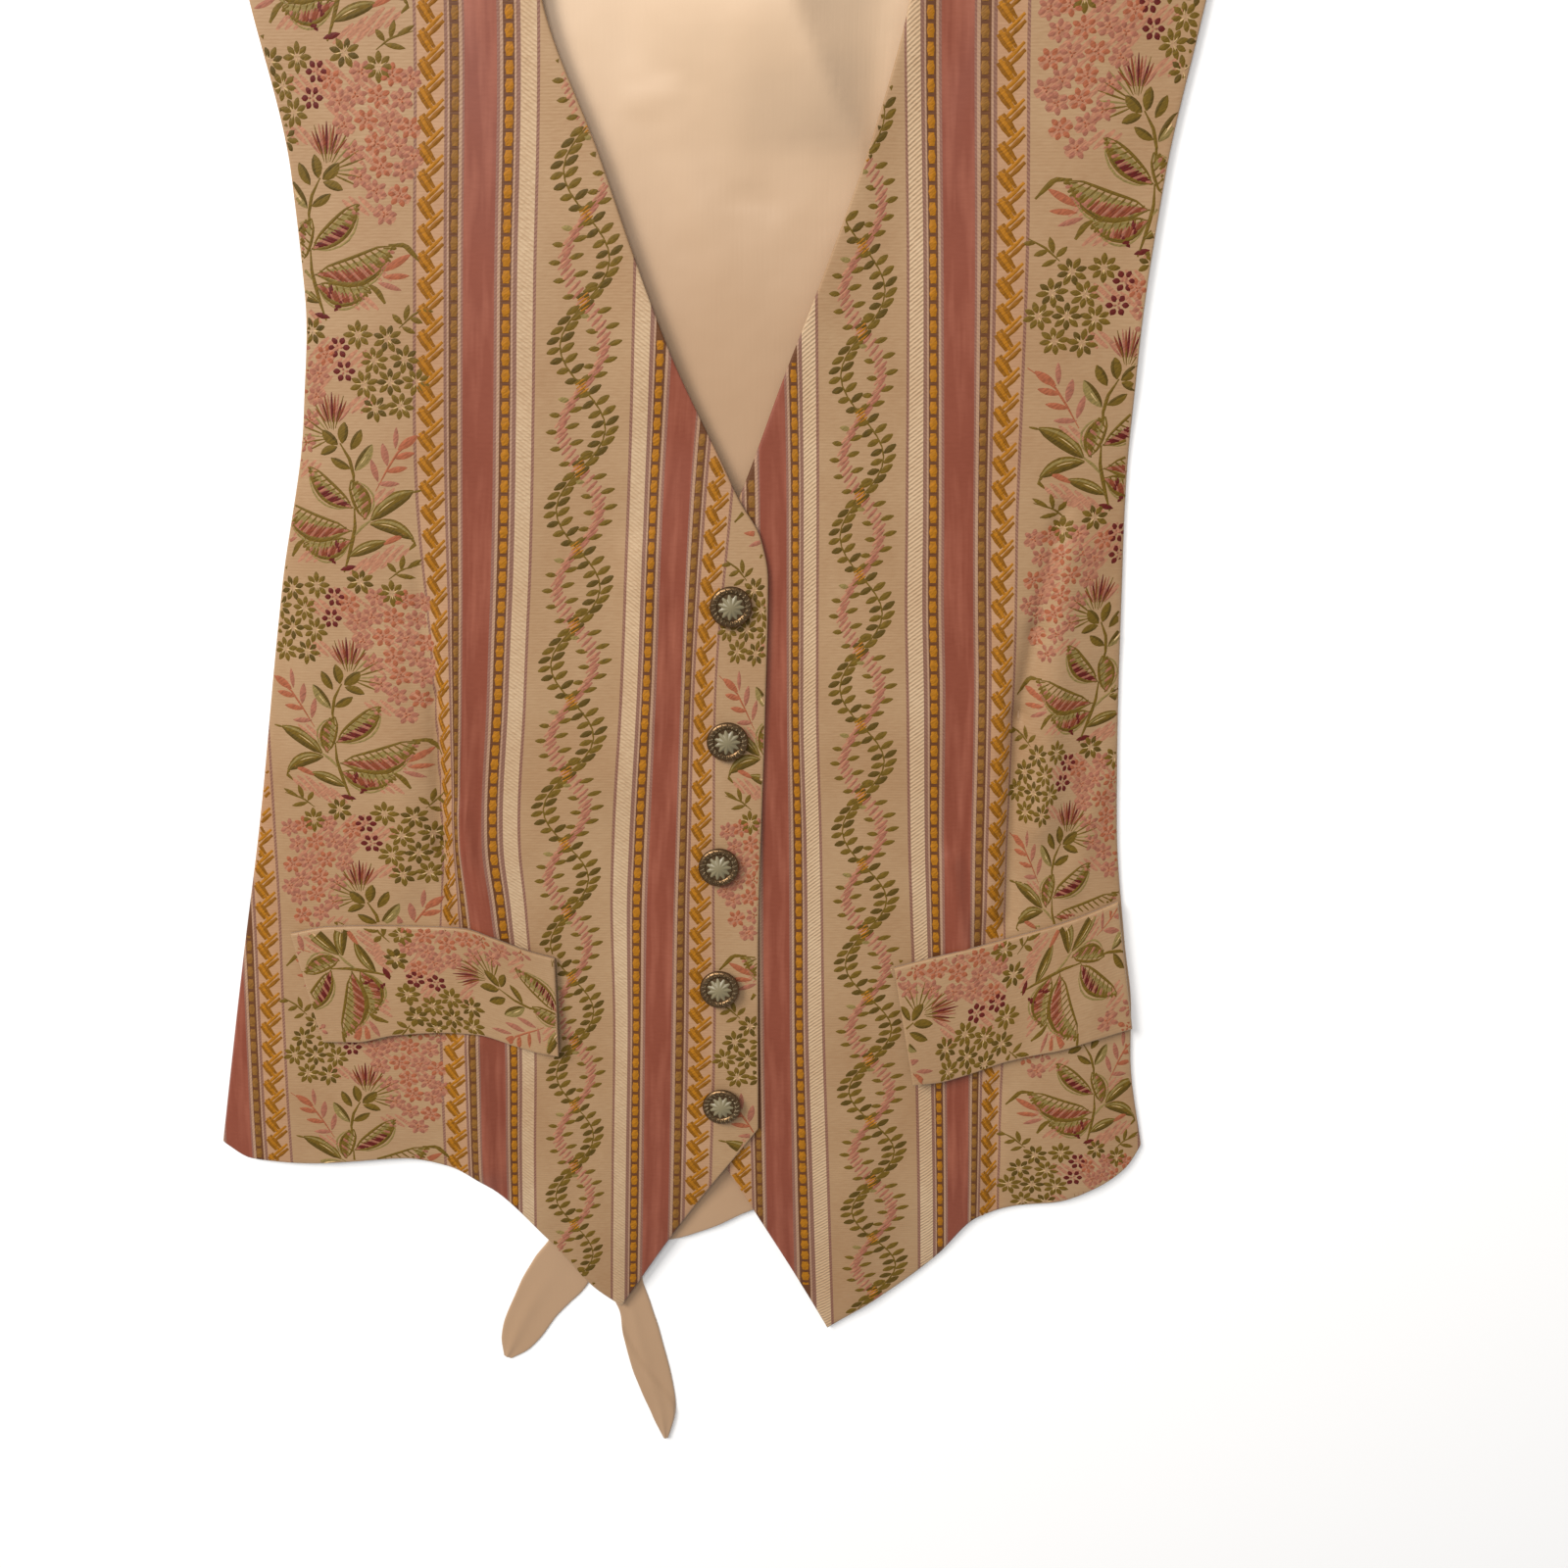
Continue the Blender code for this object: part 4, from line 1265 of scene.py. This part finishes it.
def floral(figures, place):
    """The figure once, where place turns its own millimetres into places on the weave."""

    def stitch(thread, path, *sizes):
        figures.stitch(thread, [place(a, v) for a, v in path], *sizes)

    def ring(thread, centre, inner, outer, count, width, turn, *sizes):
        for k in range(count):
            angle = math.tau * (k + turn) / count
            ahead = Vector((math.cos(angle), math.sin(angle)))
            stitch(thread, [centre + ahead * inner, centre + ahead * outer], width, *sizes)

    for a, v in BLUSHES:
        for k in range(8):
            start = a - 6 + k * 1.2, v - 3.4 + (k % 3) * 1.2
            stitch(BLUSH, [start, (start[0] + 5, start[1] + 4.6)], 2.6, 0.1, 0.6)
    for thread, path, width in STEMS:
        stitch(thread, path, width, 0.3, 0.5)
    for leaf in HATCHED_LEAVES:
        # A sage body, strokes that shade it from russet to olive, a dark crescent and a pale halo.
        stitch(SAGE, bowed(leaf), leaf.width * 0.96, 0.06, 0.3)
        upper, lower = bowed(leaf, leaf.width * 0.4), bowed(leaf, -leaf.width * 0.42)
        length = (Vector(leaf.tip) - Vector(leaf.base)).length
        slant = (Vector(leaf.tip) - Vector(leaf.base)).normalized() * leaf.width * 0.18
        count = int(length / HATCH_SPACING)
        for i in range(1, count):
            at, share = divmod(6 * i / count, 1)
            low = lower[int(at)].lerp(lower[int(at) + 1], share) - slant
            high = upper[int(at)].lerp(upper[int(at) + 1], share) + slant
            middle = low.lerp(high, 0.2 + 0.4 * i / count)
            thread = leaf.inner if i < count * 0.62 else leaf.outer
            stitch(PINK if i % 3 == 1 else thread, [middle, high], 1.7, 0.34, 0.6)
            if i % 2:
                stitch(leaf.outer, [low, middle], 0.9, 0.3, 0.6)
        stitch(OLIVE, upper, leaf.width * 0.2, 0.46, 0.4)
        stitch(DARK_OLIVE, upper[2:6], leaf.width * 0.12, 0.54, 0.4)
        stitch(SAGE, bowed(leaf, leaf.width * 0.4 + 1.9), 1.1, 0.2, 0.3)
        stitch(OLIVE, lower, 1.4, 0.4, 0.4)
    for leaf in PLAIN_LEAVES:
        stitch(leaf.inner, bowed(leaf), leaf.width, 0.34, 0.2)
        stitch(DARK_OLIVE, bowed(leaf, -0.3 * leaf.width), 0.4 * leaf.width, 0.44, 0.2)
        if leaf.outer == PALE:
            stitch(SAGE, bowed(leaf, 0.2 * leaf.width), 0.3 * leaf.width, 0.44, 0.2)
            stitch(PALE, bowed(leaf)[1:5], 1.0, 0.6)
    for piece in (*FERNS, *SMALL_LEAVES, *BUDS):
        stitch(piece.thread, [piece.start, piece.end], piece.width, 0.36, 0.2)
    for i, centre in enumerate(ROSETTES):
        centre = Vector(centre)
        ring(OLIVE, centre, 1.3, 5.7, 4, 2.7, 0.3 * i, 0.35, 0.3)
        ring(DARK_OLIVE if i % 2 else OLIVE, centre, 1.5, 5.3, 4, 2.6, 0.3 * i + 0.5, 0.35, 0.3)
        ring(PALE, centre, 0.4, 3.4, 3, 0.7, 0.3 * i + 0.25, 0.42)
    for centre in FLOWERS:
        centre = Vector(centre)
        ring(BURGUNDY, centre, 1.5, 4.4, 6, 2.7, 0)
        ring(PINK, centre, 0.2, 1.8, 3, 1.2, 0)
    for k in range(-5, 6):
        thread = (BURGUNDY, RUSSET, PINK)[k % 3]
        start = THISTLE[0] + 0.5 * k, THISTLE[1] + 6.4
        stitch(thread, [start, (start[0] + 0.95 * k, 73 - 0.22 * k * k - k % 2)], 1.15, 0.3, 0.3)
    for k, tip in enumerate(THISTLE_TIPS):
        start = Vector(THISTLE).lerp(Vector(tip), 0.22)
        stitch(SAGE if k % 3 == 2 else OLIVE, [start, tip], 0.95, 0.24, 0.4)
    for i, centre in enumerate(BLOSSOMS):
        centre = Vector(centre)
        stitch(BLUSH, [centre - Vector((3.6, 2.4)), centre + Vector((3.6, 2.4))], 8, 0.1, 0.5)
        ring(CORAL if i % 3 == 0 else PINK, centre, 1.5, 4.3, 6, 2.4, 0.2 * i, 0.34, 0.4)
        ring(CORAL, centre, 0, 1.5, 3, 1.1, 0.3 * i, 0.4)


# The stem stands beside the line that the figure is turned over about.
FLORAL_LINE = 2.7
STEM_OFFSET = 1.4
FloralRun = namedtuple("FloralRun", "figures axis right base pitch")
for run in (
    FloralRun(right_figures, HALF_REPEAT, -1, 64.5, FLORAL_PITCH),
    FloralRun(right_figures, -HALF_REPEAT, -1, 64.5, FLORAL_PITCH),
    FloralRun(left_figures, HALF_REPEAT, 1, -10.5, 100.6),
):
    for unit in range(-4, 4):
        turned = 1 if unit % 2 == 0 else -1
        base = run.base + unit * run.pitch

        def on_front(a, v, run=run, turned=turned, base=base):
            beside = FLORAL_LINE + turned * (a + STEM_OFFSET)
            return run.axis + run.right * beside, base + v

        floral(run.figures, on_front)
right_figures.woven("right_front_figures")
left_figures.woven("left_front_figures")

# On the flaps the figure climbs away from the buttons, along the flap.
FlapRun = namedtuple("FlapRun", "name cloth rows first_base first_turn toward")
for run in (
    FlapRun("right_flap_figures", right_flap, RIGHT_FLAP, 29.5, -1, -1),
    FlapRun("left_flap_figures", left_flap, LEFT_FLAP, 57, 1, 1),
):

    def on_cloth(along, down, run=run):
        along, down = along / FLAP_LONG, down / FLAP_DEEP
        return on_flap(run.rows, along, down) if 0 <= along <= 1 and 0 <= down <= 1 else None

    flap_figures = Figures(run.cloth, on_cloth, lambda x, y: False)
    middles = [(row.top_x + row.bottom_x) / 2 for row in run.rows]
    steps = [FLAP_LONG * i / (len(middles) - 1) for i in range(len(middles))]
    for unit in range(-1, 2):
        turned = run.first_turn * (1 if unit % 2 == 0 else -1)

        def on_strip(a, v, run=run, turned=turned, unit=unit, middles=middles, steps=steps):
            along = stretched(run.toward * (run.first_base + unit * FLORAL_PITCH + v), middles, steps)
            return along, FLAP_DEEP / 2 - FLORAL_LINE + run.toward * turned * a

        floral(flap_figures, on_strip)
    flap_figures.woven(run.name)


# Ties
# Two straps of the back's satin, stitched down at the waist seam of the back and loose from there.
# They run under the back and come out below the hem, the left one with its end turned over.

TieRow = namedtuple("TieRow", "x y half_width turned_over")
TIE_CLOTH = 1.2
TIE_TURNED_CLOTH = 1.1
TIE_WIDTH = 26
TIE_STEP_ALONG, TIE_STEP_ACROSS = 2.5, 1.6
RIGHT_TIE = table(
    TieRow,
    (-67, -25, 15, 0),
    (-60, -100, 15, 0),
    (-50, -180, 15, 0),
    (-46, -240, 14, 0),
    (-54, -272, 13, 0),
    (-62, -288, 15, 0),
    (-69.5, -298.5, 13.7, 0),
    (-76, -309, 11.8, 0),
    (-82, -320.5, 10.6, 0),
    (-87, -330.5, 7.8, 0),
    (-91.5, -339, 2, 0),
)
LEFT_TIE = table(
    TieRow,
    (82, -25, 15, 0),
    (58, -100, 15, 0),
    (22, -180, 15, 0),
    (-6, -235, 14, 0),
    (-22, -268, 11.5, 0),
    (-31, -290, 9.5, 0),
    (-25.5, -310, 8.2, 0),
    (-23, -324, 9.2, 0.1),
    (-19.5, -341.6, 9.3, 0.35),
    (-16, -356.7, 8.4, 0.65),
    (-12.8, -373, 6.2, 1),
    (-12, -388.6, 1.2, 1),
)


def tie_points(rows):
    steps = [math.dist(a[:2], b[:2]) for a, b in zip(rows, rows[1:])]
    along = [sum(steps[:i]) for i in range(len(rows))]
    columns = {name: list(zip(along, [getattr(row, name) for row in rows])) for name in TieRow._fields}
    points = []
    for share in shares_with_edges(along[-1], TIE_STEP_ALONG):
        at = along[-1] * share
        x, y, half, turned = (through(columns[name], at) for name in TieRow._fields)
        near = max(0.0, at - 1.5), min(along[-1], at + 1.5)
        ahead = Vector([through(columns[name], near[1]) - through(columns[name], near[0]) for name in "xy"])
        side = Vector((-ahead.y, ahead.x)).normalized() * half
        line = []
        for across in shares_with_edges(TIE_WIDTH, TIE_STEP_ACROSS):
            place = across * 2 - 1
            folded = smooth_step((place + turned * 2 - 1) / 0.12) if turned > 0 else 0.0
            z = TIE_CLOTH + TIE_TURNED_CLOTH * folded
            z += 0.5 * math.exp(-(((place - 0.2) / 0.3) ** 2)) * smooth_step((at - 250) / 60)
            line.append((x - side.x * place, y - side.y * place, z))
        points.append(line)
    grid = np.array(points)
    return grid[:, :, 0], grid[:, :, 1], grid[:, :, 2]


for name, node_name, rows in (
    ("right_tie_satin", "tie_right", RIGHT_TIE),
    ("left_tie_satin", "tie_left", LEFT_TIE),
):
    tie_xs, tie_ys, tie_zs = tie_points(rows)
    tie = cloth(name, tie_xs, tie_ys, tie_zs, TIE_CLOTH + TIE_TURNED_CLOTH + 1, ecru_satin)
    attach(tie, "root")
    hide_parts(node_name)


# Buttons
# Five shank buttons of cast metal, plated and darkened, with a ring of feathered strokes worn
# bright on the rim and a pearly dome set in the middle. Each sits a little tilted on its threads.

ButtonRow = namedtuple("ButtonRow", "x y tilt_deg lean_deg")
BUTTONS = table(
    ButtonRow,
    (26.5, 50, 7, 60),
    (24.5, -9, 5, 40),
    (20, -67.5, 3, 120),
    (19.7, -127.5, 5, 200),
    (20, -188, 3, 250),
)
BUTTON_SIDES = 66
SHARP_DEG = 40
PATINA_PER_METRE = 900
SHANK_RADIUS = 2.4
FEATHERS = 22
RIM_PROFILE = (
    (0, 0),
    (2.4, 0),
    (2.4, 1.3),
    (7.8, 1.5),
    (8.7, 2.0),
    (9.0, 2.7),
    (8.8, 3.2),
    (8.2, 3.7),
    (7.4, 3.9),
    (6.6, 3.7),
    (6.0, 3.4),
    (5.8, 3.1),
    (5.0, 3.2),
    (0, 3.4),
)
STAR_RAYS = 11
STAR_HOLLOW = 3.9
STAR_TIP = 5.75
STAR_RINGS = (0, 0.25, 0.5, 0.72, 0.88, 1.0)


def turned_points(profile, radius_at=None):
    """A turned form's rings; radius_at(share, turn) shapes them where they aren't round."""
    points, faces = [], []
    rings = []
    for radius, height in profile:
        count = 1 if radius == 0 else BUTTON_SIDES
        rings.append(range(len(points), len(points) + count))
        for i in range(count):
            turn = math.tau * i / BUTTON_SIDES
            out = radius_at(radius, turn) if radius_at else radius
            points.append((out * math.cos(turn), out * math.sin(turn), height))
    for low, high in zip(rings, rings[1:]):
        for i in range(BUTTON_SIDES):
            j = (i + 1) % BUTTON_SIDES
            corners = [low[i % len(low)], low[j % len(low)], high[j % len(high)], high[i % len(high)]]
            faces.append(list(dict.fromkeys(corners)))
    return points, faces


def star_radius(share, turn):
    ray = (0.5 + 0.5 * math.cos(STAR_RAYS * turn)) ** 1.1
    return share * mix(STAR_HOLLOW, STAR_TIP, ray * share)


STAR_PROFILE = [(0, 2.7), (1.0, 2.7)]
STAR_PROFILE += [(share, 4.7 - 1.25 * share**2) for share in reversed(STAR_RINGS)]


def feather_points():
    """Raised strokes that lean round the rim, from the dome's setting to the outer edge."""
    points, faces = [], []
    for k in range(FEATHERS):
        turn = math.tau * k / FEATHERS
        for lean, inner, outer in ((0.16, 6.05, 8.5), (-0.05, 6.3, 7.7)):
            first = len(points)
            for share in (0, 0.35, 0.7, 1):
                radius = mix(inner, outer, share)
                around = turn + lean * share + (0.14 if lean < 0 else 0)
                half = 0.5 * math.sin(math.pi * (0.15 + 0.7 * share)) / radius
                height = 3.55 + 0.45 * math.sin(math.pi * (0.1 + 0.75 * share))
                for step, lift in ((-half, -0.25), (0, 0.22), (half, -0.25)):
                    a = around + step
                    points.append((radius * math.cos(a), radius * math.sin(a), height + lift))
            for i in range(3):
                for j in range(2):
                    a = first + 3 * i + j
                    faces.append((a, a + 3, a + 4, a + 1))
    return points, faces


def button_piece(name, points, faces, material, place):
    made = mesh_object(name, [place @ (Vector(p) * MM) for p in points], faces, material)
    made.data.shade_smooth()
    made.data.set_sharp_from_angle(angle=math.radians(SHARP_DEG))
    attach(made, "root")
    return made


def antiqued(name, bright, dark):
    """Plated casting with dark patina: soft gloss on worn high spots, dull and brown in the hollows."""
    material = new_material(name, bright, 0.34, Metallic=1.0)
    at = node(material, "TexCoord", {}, "Object")
    patina = node(material, "TexNoise", {"Vector": at, "Scale": PATINA_PER_METRE, "Detail": 3})
    tarnish = {0: patina, 6: linear(dark), 7: linear(bright)}
    link_surface(material, node(material, "Mix", tarnish, 2, data_type="RGBA"), patina, 0.25, 0.1)
    return material


rim_metal = antiqued("dark_silver_plated_casting", "#8A7052", "#46301C")
feather_metal = antiqued("worn_silver_plated_casting", "#B8A88C", "#6A5638")
pearl = new_material("pressed_pearl_resin", "#7A6F52", 0.42, Coat_Weight=0.2, Coat_Roughness=0.3)

for number, row in enumerate(BUTTONS, start=1):
    tilt = math.radians(row.tilt_deg)
    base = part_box(f"button_{number}")[0].z / MM + SHANK_RADIUS * math.sin(tilt)
    lean = Matrix.Rotation(math.radians(row.lean_deg), 4, "Z")
    place = Matrix.Translation(Vector((row.x, row.y, base)) * MM)
    place = place @ lean @ Matrix.Rotation(tilt, 4, "X") @ lean.inverted()
    rim = button_piece(f"button_rim_{number}", *turned_points(RIM_PROFILE), rim_metal, place)
    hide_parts(f"button_{number}")
    feathers = button_piece(f"button_feathers_{number}", *feather_points(), feather_metal, place)
    star = turned_points(STAR_PROFILE, star_radius)
    face = button_piece(f"button_face_{number}", *star, pearl, place)
    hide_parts(f"button_pearl_{number}")
